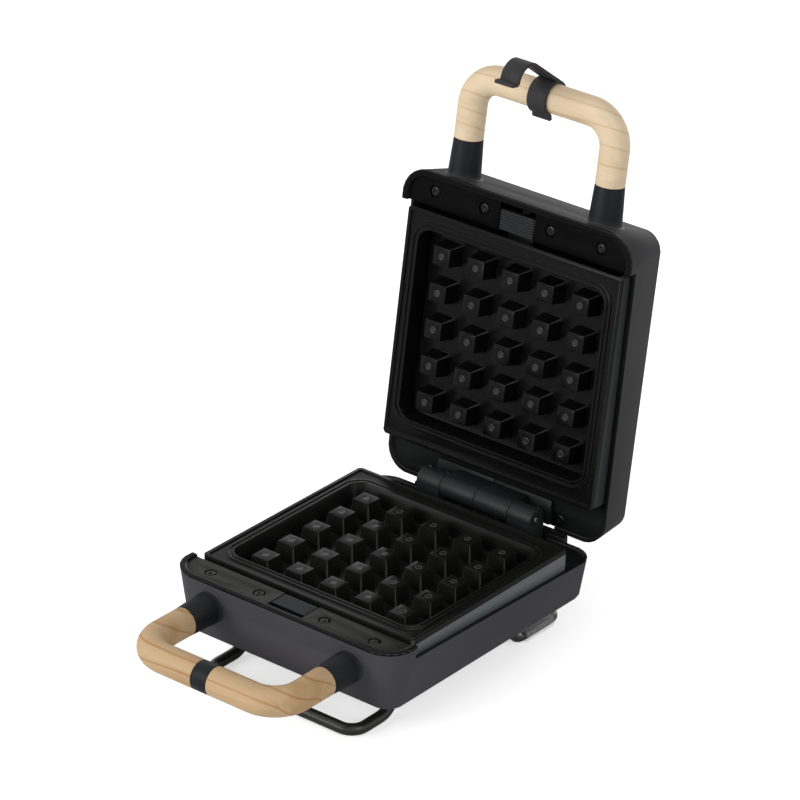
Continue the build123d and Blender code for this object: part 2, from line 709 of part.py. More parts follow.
def knuckle(x0, x1, rim, axis_z):
    """One knuckle: the barrel and the neck that carries it down to the leaf."""
    deck_top = rear_deck_top(rim)
    piece = bar_x(HINGE_Y, axis_z, x0, x1, BARREL_R, LARGE_SIDES)
    piece += box(x0, x1, HINGE_Y - BARREL_R, HINGE_Y + BARREL_R, rim_height(rim, BODY_BACK) + 0.6, axis_z)
    piece += box(x0, x1, HINGE_Y - BARREL_R, leaf_back(rim), deck_top, axis_z)
    return piece - pivot(HINGE_Y, axis_z, x0 - 1, x1 + 1, PIN_R + PIN_FIT)


def knuckle_spans():
    """The X ranges of the outer knuckle, on the lower half, and the inner one, on the lid."""
    inner = (KNUCKLE_GAP / 2, KNUCKLE_GAP / 2 + KNUCKLE_INNER)
    outer = (inner[1] + KNUCKLE_GAP, inner[1] + KNUCKLE_GAP + KNUCKLE_OUTER)
    return outer, inner


def hinge_leaf(rim, span, screw_x, axis_z):
    """The leaf screwed to the rear deck, with one knuckle; there is one on each side."""
    outer = knuckle_spans()[0][1]
    low = rear_deck_top(rim)
    leaf = box(KNUCKLE_GAP, outer, LEAF_FRONT, leaf_back(rim), low, low + LEAF_T)
    leaf += knuckle(*span, rim, axis_z)
    return leaf - hole_z(screw_x, HINGE_Y, low - 1, low + LEAF_T + 1, SCREW_R + 0.1)


def hinge_screws(rim, screw_x):
    """The two screws that hold the hinge leaves."""
    top = rear_deck_top(rim) + LEAF_T + SCREW_HEAD_H
    return Compound(children=[screw(side * screw_x, HINGE_Y, top, 8.0) for side in (-1, 1)])


def collar():
    """The moulded collar between the housing and the wooden grip, wider at its root."""
    root = front_wall(-HANDLE_DROP - COLLAR_ROOT_R)
    cone = tapered(COLLAR_ROOT_R, HANDLE_R, root - COLLAR_END, LARGE_SIDES)
    body = Pos(HANDLE_X, root, -HANDLE_DROP) * Rot(90, 0, 0) * cone
    body -= room(0, -HALF_H, LIP_TOP)
    return body - hole_y(HANDLE_X, -HANDLE_DROP, COLLAR_END - 1, 0, HANDLE_SCREW_R + BORE_FIT)


def grip(z):
    """One half of the wooden grip: a leg, a round bend and half of the bar, bored at both ends."""
    corners = [(HANDLE_X, COLLAR_END, z), (HANDLE_X, HANDLE_Y, z), (BAND_W / 2, HANDLE_Y, z)]
    route = bent(corners, [HANDLE_BEND_R], GRIP_STEP)
    wood = tube(route, HANDLE_R, LARGE_SIDES)
    screw_end = handle_seat() - HANDLE_SCREW_L
    wood -= hole_y(HANDLE_X, z, screw_end - 0.5, COLLAR_END + 1, HANDLE_SCREW_R + BORE_FIT)
    return wood - hole_x(HANDLE_Y, z, 0, DOWEL_L / 2 + 0.5, DOWEL_R + BORE_FIT)


def band(z):
    """The black band between the two halves of the grip."""
    ring = bar_x(HANDLE_Y, z, -BAND_W / 2, BAND_W / 2, HANDLE_R, LARGE_SIDES)
    return ring - hole_x(HANDLE_Y, z, -BAND_W, BAND_W, DOWEL_R + BORE_FIT)


def handle_screws():
    """The long screws from inside the housing, through the collars into the wood."""
    z = -HANDLE_DROP
    seat = handle_seat()
    head = bar_y(HANDLE_X, z, seat, seat + HANDLE_SCREW_HEAD_H, HANDLE_SCREW_HEAD_R)
    return both_sides(head + bar_y(HANDLE_X, z, seat - HANDLE_SCREW_L, seat, HANDLE_SCREW_R))


def arc_strip(centre, inner_r, start, end):
    """A bent strip of the latch in the YZ plane, from one angle to another about a centre."""
    middle = inner_r + LATCH_T / 2
    line = CenterArc(centre, middle, start, end - start)
    return trace(line, line_width=LATCH_T)


def turned(angle):
    """A unit vector at an angle in degrees."""
    return Vector(math.cos(math.radians(angle)), math.sin(math.radians(angle)))


def latch_clip():
    """The sprung clip that turns on the upper handle and hooks under the lower one, drawn latched."""
    upper = Vector(HANDLE_Y, PLATE_GAP + HANDLE_DROP)
    lower = Vector(HANDLE_Y, -HANDLE_DROP)
    ring_r = HANDLE_R + LATCH_FIT
    hook_r = HANDLE_R + HOOK_FIT
    profile = arc_strip(upper, ring_r, RING_START, RING_END)
    ring_mid = ring_r + LATCH_T / 2
    hook_mid = hook_r + LATCH_T / 2
    arm = Line(upper - Vector(ring_mid, 0), lower - Vector(hook_mid, 0))
    profile += trace(arm, line_width=LATCH_T)
    profile += arc_strip(lower, hook_r, 180, HOOK_END)
    lip = upper + turned(RING_END) * ring_mid
    profile += trace(Line(lip, lip + turned(RING_END + 35) * LATCH_LIP), line_width=LATCH_T)
    tip = lower + turned(HOOK_END) * hook_mid
    profile += trace(Line(tip, tip + turned(HOOK_END - 5) * HOOK_LIP), line_width=LATCH_T)
    return extrude(Plane.YZ * profile, amount=LATCH_W / 2, both=True)


def wire_top(radius):
    """The height of a wire's middle where its ends lie under the housing."""
    return -HALF_H - radius - WIRE_GAP


def wire_stand(x, end_y, wire_z, floor_run, way, radius):
    """One bent wire: a bar along X near the floor, legs that rise to the housing, and ends in saddles."""
    top_z = wire_top(radius)
    knee = end_y + way * floor_run
    top = knee + way * (top_z - wire_z)
    tail = top + way * STAND_TOP_RUN
    corners = [
        (-x, tail, top_z),
        (-x, top, top_z),
        (-x, knee, wire_z),
        (-x, end_y, wire_z),
        (x, end_y, wire_z),
        (x, knee, wire_z),
        (x, top, top_z),
        (x, tail, top_z),
    ]
    one_side = [STAND_BEND_R, STAND_BEND_R, STAND_CORNER_R]
    return tube(bent(corners, one_side + one_side[::-1], WIRE_STEP), radius, WIRE_SIDES)


def saddle_places():
    """Where the saddles sit on each side: X of the wire, Y of the saddle's middle and the wire's radius."""
    front = FRONT_STAND_Y + STAND_FLOOR_RUN + (wire_top(FRONT_WIRE_R) - FRONT_WIRE_Z) + STAND_TOP_RUN
    rear = REAR_STAND_Y - REAR_FLOOR_RUN - (wire_top(REAR_WIRE_R) - REAR_WIRE_Z) - STAND_TOP_RUN
    return [
        (FRONT_STAND_X, front - SADDLE_L / 2, FRONT_WIRE_R),
        (REAR_STAND_X, rear + SADDLE_L / 2, REAR_WIRE_R),
    ]


def saddle_low(radius):
    """The height of the underside of the saddle on a wire."""
    return wire_top(radius) - radius - SADDLE_UNDER


def stand_saddles():
    """The saddles that clamp the wires' ends to the underside of the housing."""
    saddles = []
    for x, y, radius in saddle_places():
        low = saddle_low(radius)
        screw_x = x - radius - SADDLE_SCREW_GAP
        block = box(x - SADDLE_ARM, x + radius + SADDLE_LIP, y - SADDLE_L / 2, y + SADDLE_L / 2, low, -HALF_H)
        block = chamfer(block.edges().filter_by(Axis.Z), 1.8)
        block -= hole_y(x, wire_top(radius), y - SADDLE_L, y + SADDLE_L, radius + 0.05)
        block -= box(x - radius, x + radius, y - SADDLE_L, y + SADDLE_L, wire_top(radius), -HALF_H + 1)
        block -= hole_z(screw_x, y, low - 1, low + SCREW_HEAD_H + 0.3, SCREW_HEAD_R + 0.3)
        block -= hole_z(screw_x, y, low, -HALF_H + 1, SCREW_R + 0.1)
        saddles += [block, mirror(block, about=Plane.YZ)]
    return Compound(children=saddles)


def stand_screws():
    """The screws that hold the saddles, with their heads let into them."""
    tip = INNER_FLOOR + SADDLE_BOSS_H - 0.6
    shapes = []
    for x, y, radius in saddle_places():
        screw_x = x - radius - SADDLE_SCREW_GAP
        low = saddle_low(radius) + 0.3
        piece = post(screw_x, y, low, low + SCREW_HEAD_H, SCREW_HEAD_R)
        piece += post(screw_x, y, low + SCREW_HEAD_H, tip, SCREW_R)
        shapes += [piece, mirror(piece, about=Plane.YZ)]
    return Compound(children=shapes)


def rear_sleeves():
    """The clear sleeves on the rear wire, flat underneath where they stand on the table."""
    middle = REAR_STAND_Y - STAND_CORNER_R - SLEEVE_L / 2
    ends = (middle - SLEEVE_L / 2, middle + SLEEVE_L / 2)
    sleeve = bar_y(REAR_STAND_X, REAR_WIRE_Z, *ends, SLEEVE_R, LARGE_SIDES)
    sleeve -= hole_y(REAR_STAND_X, REAR_WIRE_Z, middle - SLEEVE_L, middle + SLEEVE_L, REAR_WIRE_R + 0.05)
    sides = (REAR_STAND_X - 2 * SLEEVE_R, REAR_STAND_X + 2 * SLEEVE_R)
    sleeve -= box(*sides, middle - SLEEVE_L, middle + SLEEVE_L, FLOOR_Z - 5, FLOOR_Z)
    return both_sides(sleeve)


def cover_top():
    """The height of the cover behind the hinge, just under the lid's rear rim when the lid is open."""
    opened = math.radians(OPEN_ANGLE)
    rim = rim_height(LID_RIM, BODY_BACK)
    behind = back_wall(rim) - HINGE_Y
    above = PLATE_GAP - rim - HINGE_Z
    return HINGE_Z - behind * math.sin(opened) + above * math.cos(opened) - COVER_CLEAR


def cover_screw_tip():
    """Y of the cover screws' tips, in the posts inside the rear wall."""
    return back_wall(COVER_SCREW_Z) - WALL - 1.0


def rear_cover():
    """The cover over the terminals, on the rear wall, which also closes the gap behind the hinge."""
    top = cover_top()
    back = BODY_BACK + COVER_T
    cover = box(-COVER_HALF_W, COVER_HALF_W, HINGE_Y, back, COVER_BOTTOM, top)
    cover = chamfer(cover.edges().filter_by(Axis.Z).sort_by(Axis.Y)[-2:], COVER_CUT)
    cover -= room(0, -HALF_H, LIP_TOP)
    inside = COVER_HALF_W - COVER_EDGE
    cover -= box(-inside, inside, HINGE_Y, back - COVER_WALL, COVER_BOTTOM + 2.5, top - 5)
    cover -= hole_y(GLAND_X, GLAND_Z, back - COVER_WALL - 1, back + 1, GLAND_R - 0.5)
    for side in (-1, 1):
        cover -= hole_y(side * COVER_SCREW_X, COVER_SCREW_Z, HINGE_Y, back + 1, SCREW_R + 0.1)
    return cover


def cover_screws():
    """The two screws of the rear cover."""
    back = BODY_BACK + COVER_T
    head = bar_y(COVER_SCREW_X, COVER_SCREW_Z, back, back + SCREW_HEAD_H, SCREW_HEAD_R)
    return both_sides(head + bar_y(COVER_SCREW_X, COVER_SCREW_Z, cover_screw_tip(), back, SCREW_R))


def cord_gland():
    """The strain relief that the mains lead leaves through."""
    back = BODY_BACK + COVER_T
    cone = tapered(GLAND_R, GLAND_TIP_R, GLAND_L, WIRE_SIDES)
    stub = Pos(GLAND_X, back, GLAND_Z) * Rot(-90, 0, 0) * cone
    stub += bar_y(GLAND_X, GLAND_Z, back - COVER_WALL, back, GLAND_R - 0.6)
    stub += bar_y(GLAND_X, GLAND_Z, back - COVER_WALL - 1.5, back - COVER_WALL, GLAND_R)
    return stub - hole_y(GLAND_X, GLAND_Z, HINGE_Y, back + GLAND_L + 1, GLAND_BORE_R)


def terminal_middle():
    """Y of the terminal block's middle, in front of the rear wall's foot."""
    return back_wall(INNER_FLOOR) - WALL - TERMINAL_BEHIND - TERMINAL_BLOCK[1] / 2


def terminal_block():
    """The terminal block on the floor behind the tray."""
    w, d = TERMINAL_BLOCK
    y = terminal_middle() - d / 2
    top = FRAME_UNDER - TERMINAL_CLEAR
    block = box(-w / 2, w / 2, y, y + d, INNER_FLOOR, top)
    for x in (-w / 3, 0, w / 3):
        block -= hole_y(x, (INNER_FLOOR + top) / 2, y - 1, y + d + 1, TERMINAL_HOLE_R)
    return block


def thermal_fuse():
    """The thermal fuse in its sleeve, on the floor beside the terminal block."""
    x = TERMINAL_BLOCK[0] / 2 + FUSE_GAP
    return bar_x(terminal_middle(), INNER_FLOOR + FUSE_R, x, x + FUSE_L, FUSE_R)


def half_pieces(name, rim):
    """The pieces that both halves have, drawn as the lower half."""
    outer, inner = knuckle_spans()
    own, other = (outer, inner) if name == "base" else (inner, outer)
    axis_z = HINGE_Z if name == "base" else PLATE_GAP - HINGE_Z
    leaf_screw_x = sum(other) / 2
    z = -HANDLE_DROP
    return {
        "deck": deck(),
        "deck_screws": deck_screws(),
        "release_slider": release_slider(),
        "slider_spring": slider_spring(),
        "waffle_plate": waffle_plate(),
        "inner_frame": frame_with_rear_deck(rim, leaf_screw_x),
        "frame_screws": frame_screws(rim),
        "reflector_tray": reflector_tray(),
        "heating_element": heating_element(),
        "element_clips": element_clips(),
        "thermostat": thermostat(),
        "hinge_leaves": both_sides(hinge_leaf(rim, own, leaf_screw_x, axis_z)),
        "hinge_screws": hinge_screws(rim, leaf_screw_x),
        "handle_collars": both_sides(collar()),
        "grip_right": grip(z),
        "grip_left": mirror(grip(z), about=Plane.YZ),
        "grip_band": band(z),
        "grip_dowel": bar_x(HANDLE_Y, z, -DOWEL_L / 2, DOWEL_L / 2, DOWEL_R),
        "handle_screws": handle_screws(),
    }


def swing(piece, angle, y, z):
    """Turns a piece about an axis along X through a point."""
    return Pos(0, y, z) * Rot(angle, 0, 0) * Pos(0, -y, -z) * piece


def all_pieces():
    """Every node by name, in the working frame, with the lid open as it stands at rest."""
    pieces = {"base_" + k: v for k, v in half_pieces("base", BASE_RIM).items()}
    pieces["base_housing"] = base_housing()
    lid = {"lid_" + k: v for k, v in half_pieces("lid", LID_RIM).items()}
    lid["lid_housing"] = housing(LID_RIM, DECK_SCREW_X)
    for name, piece in lid.items():
        closed = mirror(piece, about=Plane.XY.offset(PLATE_GAP / 2))
        pieces[name] = closed
    upper = (HANDLE_Y, PLATE_GAP + HANDLE_DROP)
    lid["latch_clip"] = swing(latch_clip(), -LATCH_REST_ANGLE, *upper)
    pieces["latch_clip"] = lid["latch_clip"]
    for name in lid:
        pieces[name] = swing(pieces[name], -OPEN_ANGLE, HINGE_Y, HINGE_Z)
    half_pin = knuckle_spans()[0][1] - 0.3
    pieces["hinge_pin"] = pivot(HINGE_Y, HINGE_Z, -half_pin, half_pin, PIN_R)
    front = (FRONT_STAND_X, FRONT_STAND_Y, FRONT_WIRE_Z, STAND_FLOOR_RUN, 1, FRONT_WIRE_R)
    rear = (REAR_STAND_X, REAR_STAND_Y, REAR_WIRE_Z, REAR_FLOOR_RUN, -1, REAR_WIRE_R)
    pieces["front_stand"] = wire_stand(*front)
    pieces["rear_stand"] = wire_stand(*rear)
    pieces["rear_stand_sleeves"] = rear_sleeves()
    pieces["stand_saddles"] = stand_saddles()
    pieces["stand_screws"] = stand_screws()
    pieces["rear_cover"] = rear_cover()
    pieces["cover_screws"] = cover_screws()
    pieces["cord_gland"] = cord_gland()
    pieces["terminal_block"] = terminal_block()
    pieces["thermal_fuse"] = thermal_fuse()
    return pieces


def shift_to_origin(pieces):
    """The move that puts the origin below the middle of the bounding box."""
    box_all = Compound(children=[Compound(children=list(p.solids())) for p in pieces.values()]).bounding_box()
    return Vector(0, -(box_all.min.Y + box_all.max.Y) / 2, -FLOOR_Z)


def main():
    """Builds every piece, moves it to the part's frame and writes one file for each node."""
    os.makedirs("parts", exist_ok=True)
    pieces = all_pieces()
    move = shift_to_origin(pieces)
    print("origin shift", round(move.Y, 4), round(move.Z, 4))
    for name, piece in pieces.items():
        export_step(Pos(*move) * piece, "parts/" + name + ".step")


main()
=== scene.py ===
import json
import math

import bmesh
import bpy
from mathutils import Matrix, Vector


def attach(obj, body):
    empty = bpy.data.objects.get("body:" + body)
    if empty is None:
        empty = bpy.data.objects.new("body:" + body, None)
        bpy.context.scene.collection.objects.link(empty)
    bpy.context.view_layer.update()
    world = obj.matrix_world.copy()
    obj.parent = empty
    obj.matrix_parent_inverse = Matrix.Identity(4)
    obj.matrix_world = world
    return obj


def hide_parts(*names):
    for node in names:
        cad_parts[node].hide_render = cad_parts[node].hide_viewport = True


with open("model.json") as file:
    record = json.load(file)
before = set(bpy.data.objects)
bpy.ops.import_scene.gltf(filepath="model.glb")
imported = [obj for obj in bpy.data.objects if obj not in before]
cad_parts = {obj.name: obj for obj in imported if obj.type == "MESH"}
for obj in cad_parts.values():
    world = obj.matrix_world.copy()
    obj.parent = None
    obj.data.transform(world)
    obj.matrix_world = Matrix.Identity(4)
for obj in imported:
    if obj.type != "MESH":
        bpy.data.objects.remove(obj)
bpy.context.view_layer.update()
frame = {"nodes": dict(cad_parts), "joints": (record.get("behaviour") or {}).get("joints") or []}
cad = frame["nodes"]
scene = bpy.context.scene

# Sizes in metres, in the working frame of the lower half, as the part's source has them.
# Y is 0 at the front edge of the plate, Z is 0 at the top of the lower plate.
MM = 0.001
hinge_origin = next(j for j in frame["joints"] if j["name"] == "lid_hinge")["pos_m"]
HINGE_Y = 156.3 * MM
HINGE_Z = -1.0 * MM
PLATE_GAP = 1.0 * MM
OPEN_ANGLE = math.radians(97.7)
SHIFT = Matrix.Translation((0.0, hinge_origin[1] - HINGE_Y, hinge_origin[2] - HINGE_Z))
TURN = (
    Matrix.Translation((0.0, HINGE_Y, HINGE_Z))
    @ Matrix.Rotation(-OPEN_ANGLE, 4, "X")
    @ Matrix.Translation((0.0, -HINGE_Y, -HINGE_Z))
)
FLIP = Matrix.Translation((0.0, 0.0, PLATE_GAP)) @ Matrix.Diagonal((1.0, 1.0, -1.0, 1.0))
PLACES = {"base": SHIFT, "lid": SHIFT @ TURN @ FLIP}

PLATE_D = 140.0 * MM
BODY_HALF_W = 80.4 * MM
BODY_FRONT = -23.6 * MM
BODY_BACK = 166.8 * MM
BODY_CORNER_R = 17.0 * MM
DRAFT = math.tan(math.radians(8.4))
HALF_H = 39.0 * MM
STEP_Y = -2.6 * MM
# How far each half's rim lies below its plate's top, at the plate's front and rear
RIM = {"base": (8.4 * MM, 12.6 * MM), "lid": (7.5 * MM, 11.5 * MM)}
HANDLE_X = 49.6 * MM
HANDLE_Z = -15.0 * MM
HANDLE_Y = BODY_FRONT - 58.9 * MM
HANDLE_R = 8.6 * MM
HANDLE_BEND = 18.0 * MM
COLLAR_END = BODY_FRONT - 20.9 * MM
COLLAR_ROOT_R = 9.7 * MM
BAND_W = 10.8 * MM
DECK_TOP = -0.8 * MM
DECK_SCREW_X = (23.3 * MM, 58.4 * MM)
DECK_SCREW_Y = -12.2 * MM
REAR_SCREW_X = 47.0 * MM
REAR_SCREW_Y = PLATE_D + 17.5 * MM
REAR_DECK_DROP = 0.7 * MM
LEAF_T = 2.4 * MM
BARREL_R = 6.9 * MM
BARREL_SKIN = 0.06 * MM
# From where to where each half's right knuckle runs
KNUCKLES = {"lid": (0.15 * MM, 24.35 * MM), "base": (24.65 * MM, 40.95 * MM)}
FLOOR_Z = -60.0 * MM
WIRE_GAP = 0.1 * MM
# Each wire's half width, end, radius, height of its low run, that run's length, and the way it points
WIRES = {
    "front_stand": (52.7 * MM, -21.3 * MM, 3.5 * MM, FLOOR_Z + 3.5 * MM, 27.3 * MM, 1),
    "rear_stand": (58.0 * MM, 159.0 * MM, 2.5 * MM, FLOOR_Z + 3.6 * MM, 40.0 * MM, -1),
}
WIRE_CORNER_R = 9.2 * MM
WIRE_BEND_R = 12.0 * MM
WIRE_TOP_RUN = 22.0 * MM
SCREW_HEAD_R = 3.0 * MM
SCREW_HEAD_H = 1.3 * MM
SCREW_R = 1.4 * MM
DECK_SCREW_SINK = 1.4 * MM
DECK_SCREW_L = 7.0 * MM
FRAME_TOP = -18.2 * MM
# Whole screws: x, y, seat, head radius and shank length
FRAME_SCREW = (70.2 * MM, 16.0 * MM, FRAME_TOP, 2.4 * MM, 8.0 * MM)
COVER_SCREW = (46.0 * MM, 171.5 * MM, -28.0 * MM, SCREW_HEAD_R, 12.0 * MM)
STAND_SCREWS = (
    (44.6 * MM, 35.4 * MM, -45.8 * MM, SCREW_HEAD_R, 11.8 * MM),
    (50.9 * MM, 88.7 * MM, -43.8 * MM, SCREW_HEAD_R, 9.8 * MM),
)
REAR_SCREW_BITE = 7.3 * MM
HINGE_SCREW_X = {"base": 12.25 * MM, "lid": 32.8 * MM}
HINGE_SCREW_L = 8.0 * MM
CAVITY_MID = PLATE_D / 2 - 1.0 * MM
STUD_COUNT = 5
STUD_PITCH_X = 24.5 * MM
STUD_PITCH_Y = 22.3 * MM
STUD_TOP = -1.2 * MM
# The skirt's paint starts this far out from the middle and between these depths under the plate's top
SKIRT_MIN_X = 72.5 * MM
SKIRT_DEPTHS = (3.1 * MM, 3.5 * MM)
SLEEVE_R = 4.0 * MM
SLEEVE_L = 25.0 * MM
SLEEVE_GAP = 0.12 * MM
SLEEVE_EASE = 0.6 * MM
COLLAR_FLARE = 1.6 * MM
WOOD_EASE = 0.35 * MM
END_EASE = 0.3 * MM
SEAM = 0.05 * MM
ARC_STEP = 0.0012

# How round the pieces are: sides of a handle, a sleeve or screw head, a wire, and a small ring
WIDE_SIDES = 64
HEAD_SIDES = 48
WIRE_SIDES = 32
SMALL_SIDES = 20

# Depth of the fine grain on plastic and wood, in metres
GRAIN_DEPTH = 0.00003

# Linear colours: the plate's edges, a painted highlight; its coating and its bare skirt; the housing; wood
# and its lines; ribs
PAINTED_EDGE_GLINT = (0.05, 0.05, 0.047)
# The plate's, the housing's and the ribs' tones come in two copies of one material, lighter for the lower
# half and darker for the lid: painted light and shade.
PLATE_TONES = {
    "base": ((0.0085, 0.0085, 0.008), (0.14, 0.15, 0.154)),
    "lid": ((0.0035, 0.0035, 0.0034), (0.04, 0.043, 0.044)),
}
HOUSING_TONES = {"base": (0.061, 0.0595, 0.0645), "lid": (0.045, 0.0445, 0.047)}
WOOD_TONES = {
    "base": ((0.56, 0.39, 0.224), (0.735, 0.566, 0.36)),
    "lid": ((0.80, 0.645, 0.455), (0.86, 0.78, 0.68)),
}
RIB_TONES = {"base": (0.05, 0.053, 0.06), "lid": (0.026, 0.028, 0.031)}


def front_wall(z):
    """Y of the housing's drafted front wall at a height."""
    return BODY_FRONT - z * DRAFT


def rim_height(half, y):
    """Height of a half's side rim, which falls to the rear."""
    front, rear = RIM[half]
    return -(front + (rear - front) * y / PLATE_D)


# Materials

def material(name):
    """A new node material and its principled shader."""
    mat = bpy.data.materials.new(name)
    mat.use_nodes = True
    return mat, mat.node_tree, mat.node_tree.nodes["Principled BSDF"]


def add(tree, kind, **values):
    """A node with its properties set by name."""
    node = tree.nodes.new(kind)
    for key, value in values.items():
        setattr(node, key, value)
    return node


def stretched(tree, scale=(1.0, 1.0, 1.0)):
    """Object coordinates, scaled."""
    coords = add(tree, "ShaderNodeTexCoord")
    mapping = add(tree, "ShaderNodeMapping")
    mapping.inputs["Scale"].default_value = scale
    tree.links.new(coords.outputs["Object"], mapping.inputs["Vector"])
    return mapping.outputs["Vector"]


def noise(tree, vector, scale, detail, rough=0.5, distortion=0.0):
    """A noise texture's value."""
    node = add(tree, "ShaderNodeTexNoise")
    node.inputs["Scale"].default_value = scale
    node.inputs["Detail"].default_value = detail
    node.inputs["Roughness"].default_value = rough
    node.inputs["Distortion"].default_value = distortion
    tree.links.new(vector, node.inputs["Vector"])
    return node.outputs["Fac"]


def ramp(tree, value, stops):
    """A colour ramp on a value, from (position, colour) stops."""
    node = add(tree, "ShaderNodeValToRGB")
    bands = node.color_ramp
    while len(bands.elements) < len(stops):
        bands.elements.new(0.5)
    for element, (position, colour) in zip(bands.elements, stops):
        element.position = position
        element.color = (*colour, 1.0)
    tree.links.new(value, node.inputs["Fac"])
    return node.outputs["Color"]


def spread(tree, value, low, high):
    """The middle of a noise value's range, mapped to between low and high."""
    node = add(tree, "ShaderNodeMapRange")
    node.inputs["From Min"].default_value = 0.3
    node.inputs["From Max"].default_value = 0.7
    node.inputs["To Min"].default_value = low
    node.inputs["To Max"].default_value = high
    tree.links.new(value, node.inputs["Value"])
    return node.outputs["Result"]


def bump(tree, shader, heights):
    """Bumps on the shader from (value, distance in metres, strength) layers, the coarsest first."""
    normal = None
    for value, distance, strength in heights:
        node = add(tree, "ShaderNodeBump")
        node.inputs["Distance"].default_value = distance
        node.inputs["Strength"].default_value = strength
        tree.links.new(value, node.inputs["Height"])
        if normal is not None:
            tree.links.new(normal, node.inputs["Normal"])
        normal = node.outputs["Normal"]
    tree.links.new(normal, shader.inputs["Normal"])


def tint(colour, factor):
    """A colour made lighter or darker."""
    return tuple(c * factor for c in colour)


def moulded(name, colour, low, high, shine, grain=1800.0):
    """Moulded plastic or baked paint with a fine grain and a faint cloud in its colour and gloss."""
    mat, tree, shader = material(name)
    place = stretched(tree)
    cloud = noise(tree, place, 22.0, 3.0)
    fine = noise(tree, place, grain, 3.0, 0.6)
    colours = ramp(tree, cloud, [(0.35, tint(colour, 0.9)), (0.65, tint(colour, 1.1))])
    tree.links.new(colours, shader.inputs["Base Color"])
    tree.links.new(spread(tree, fine, low, high), shader.inputs["Roughness"])
    shader.inputs["Specular IOR Level"].default_value = shine
    bump(tree, shader, [(fine, GRAIN_DEPTH, 0.35)])
    return mat


def metal(name, colour, low, high, stretch=(1.0, 1.0, 1.0)):
    """Metal with fine scratches, drawn out along the axis that has the smallest stretch."""
    mat, tree, shader = material(name)
    shader.inputs["Metallic"].default_value = 1.0
    lines = noise(tree, stretched(tree, stretch), 500.0, 4.0, 0.6)
    colours = ramp(tree, lines, [(0.3, tint(colour, 0.86)), (0.7, tint(colour, 1.1))])
    tree.links.new(colours, shader.inputs["Base Color"])
    tree.links.new(spread(tree, lines, low, high), shader.inputs["Roughness"])
    bump(tree, shader, [(lines, 0.00002, 0.25)])
    return mat


def step(tree, value, start, end):
    """0 below the start and 1 above the end of a value."""
    node = add(tree, "ShaderNodeMapRange")
    node.inputs["From Min"].default_value = start
    node.inputs["From Max"].default_value = end
    tree.links.new(value, node.inputs["Value"])
    return node.outputs["Result"]


def product(tree, first, second):
    """Two values multiplied."""
    node = add(tree, "ShaderNodeMath", operation="MULTIPLY")
    tree.links.new(first, node.inputs[0])
    tree.links.new(second, node.inputs[1])
    return node.outputs["Value"]


def blend(tree, factor, first, second, kind="MIX"):
    """Two colours mixed by a value or a number."""
    node = add(tree, "ShaderNodeMix", data_type="RGBA", blend_type=kind)
    if isinstance(factor, float):
        node.inputs["Factor"].default_value = factor
    else:
        tree.links.new(factor, node.inputs["Factor"])
    tree.links.new(first, node.inputs["A"])
    tree.links.new(second, node.inputs["B"])
    return next(o for o in node.outputs if o.type == "RGBA")


def along(tree, half, socket, origin, way=(0.0, 0.0, -1.0)):
    """A position or normal, from an origin, measured along one of a half's own directions."""
    direction = (PLACES[half] @ Vector(way)) - (PLACES[half] @ Vector((0.0, 0.0, 0.0)))
    coords = add(tree, "ShaderNodeTexCoord")
    shift = add(tree, "ShaderNodeVectorMath", operation="SUBTRACT")
    tree.links.new(coords.outputs[socket], shift.inputs[0])
    shift.inputs[1].default_value = origin
    dot = add(tree, "ShaderNodeVectorMath", operation="DOT_PRODUCT")
    tree.links.new(shift.outputs["Vector"], dot.inputs[0])
    dot.inputs[1].default_value = direction
    return dot.outputs["Value"]


def depth_below(tree, half):
    """How far a point lies below the top of its half's plate, in metres."""
    return along(tree, half, "Object", PLACES[half] @ Vector((0.0, 0.0, 0.0)))


def below_flange(tree, half):
    """1 on the skirt's sides under the plate's flange, and 0 elsewhere on the plate."""
    coords = add(tree, "ShaderNodeTexCoord")
    side = add(tree, "ShaderNodeSeparateXYZ")
    tree.links.new(coords.outputs["Object"], side.inputs["Vector"])
    wide = add(tree, "ShaderNodeMath", operation="ABSOLUTE")
    tree.links.new(side.outputs["X"], wide.inputs[0])
    outside = add(tree, "ShaderNodeMath", operation="GREATER_THAN")
    outside.inputs[1].default_value = SKIRT_MIN_X
    tree.links.new(wide.outputs["Value"], outside.inputs[0])
    return product(tree, step(tree, depth_below(tree, half), *SKIRT_DEPTHS), outside.outputs["Value"])


def housing_paint(half):
    """The charcoal housing, in its half's lighter or darker copy as painted light and shade, black and
    glossier on the top of its rim.
    """
    mat, tree, shader = material(half + "_charcoal_housing")
    place = stretched(tree)
    cloud = noise(tree, place, 16.0, 3.0)
    fine = noise(tree, place, 1500.0, 3.0, 0.6)
    grey = HOUSING_TONES[half]
    painted = ramp(tree, cloud, [(0.35, tint(grey, 0.93)), (0.65, tint(grey, 1.07))])
    black = ramp(tree, cloud, [(0.35, (0.009, 0.009, 0.009)), (0.65, (0.012, 0.012, 0.012))])
    facing_up = step(tree, along(tree, half, "Normal", (0.0, 0.0, 0.0)), -0.6, -0.85)
    near_top = step(tree, depth_below(tree, half), 20.0 * MM, 18.0 * MM)
    rim = product(tree, facing_up, near_top)
    tree.links.new(blend(tree, rim, painted, black), shader.inputs["Base Color"])
    gloss = add(tree, "ShaderNodeMapRange")
    gloss.inputs["To Min"].default_value = 0.52
    gloss.inputs["To Max"].default_value = 0.3
    tree.links.new(rim, gloss.inputs["Value"])
    tree.links.new(gloss.outputs["Result"], shader.inputs["Roughness"])
    shader.inputs["Specular IOR Level"].default_value = 0.05
    bump(tree, shader, [(fine, GRAIN_DEPTH, 0.35)])
    return mat


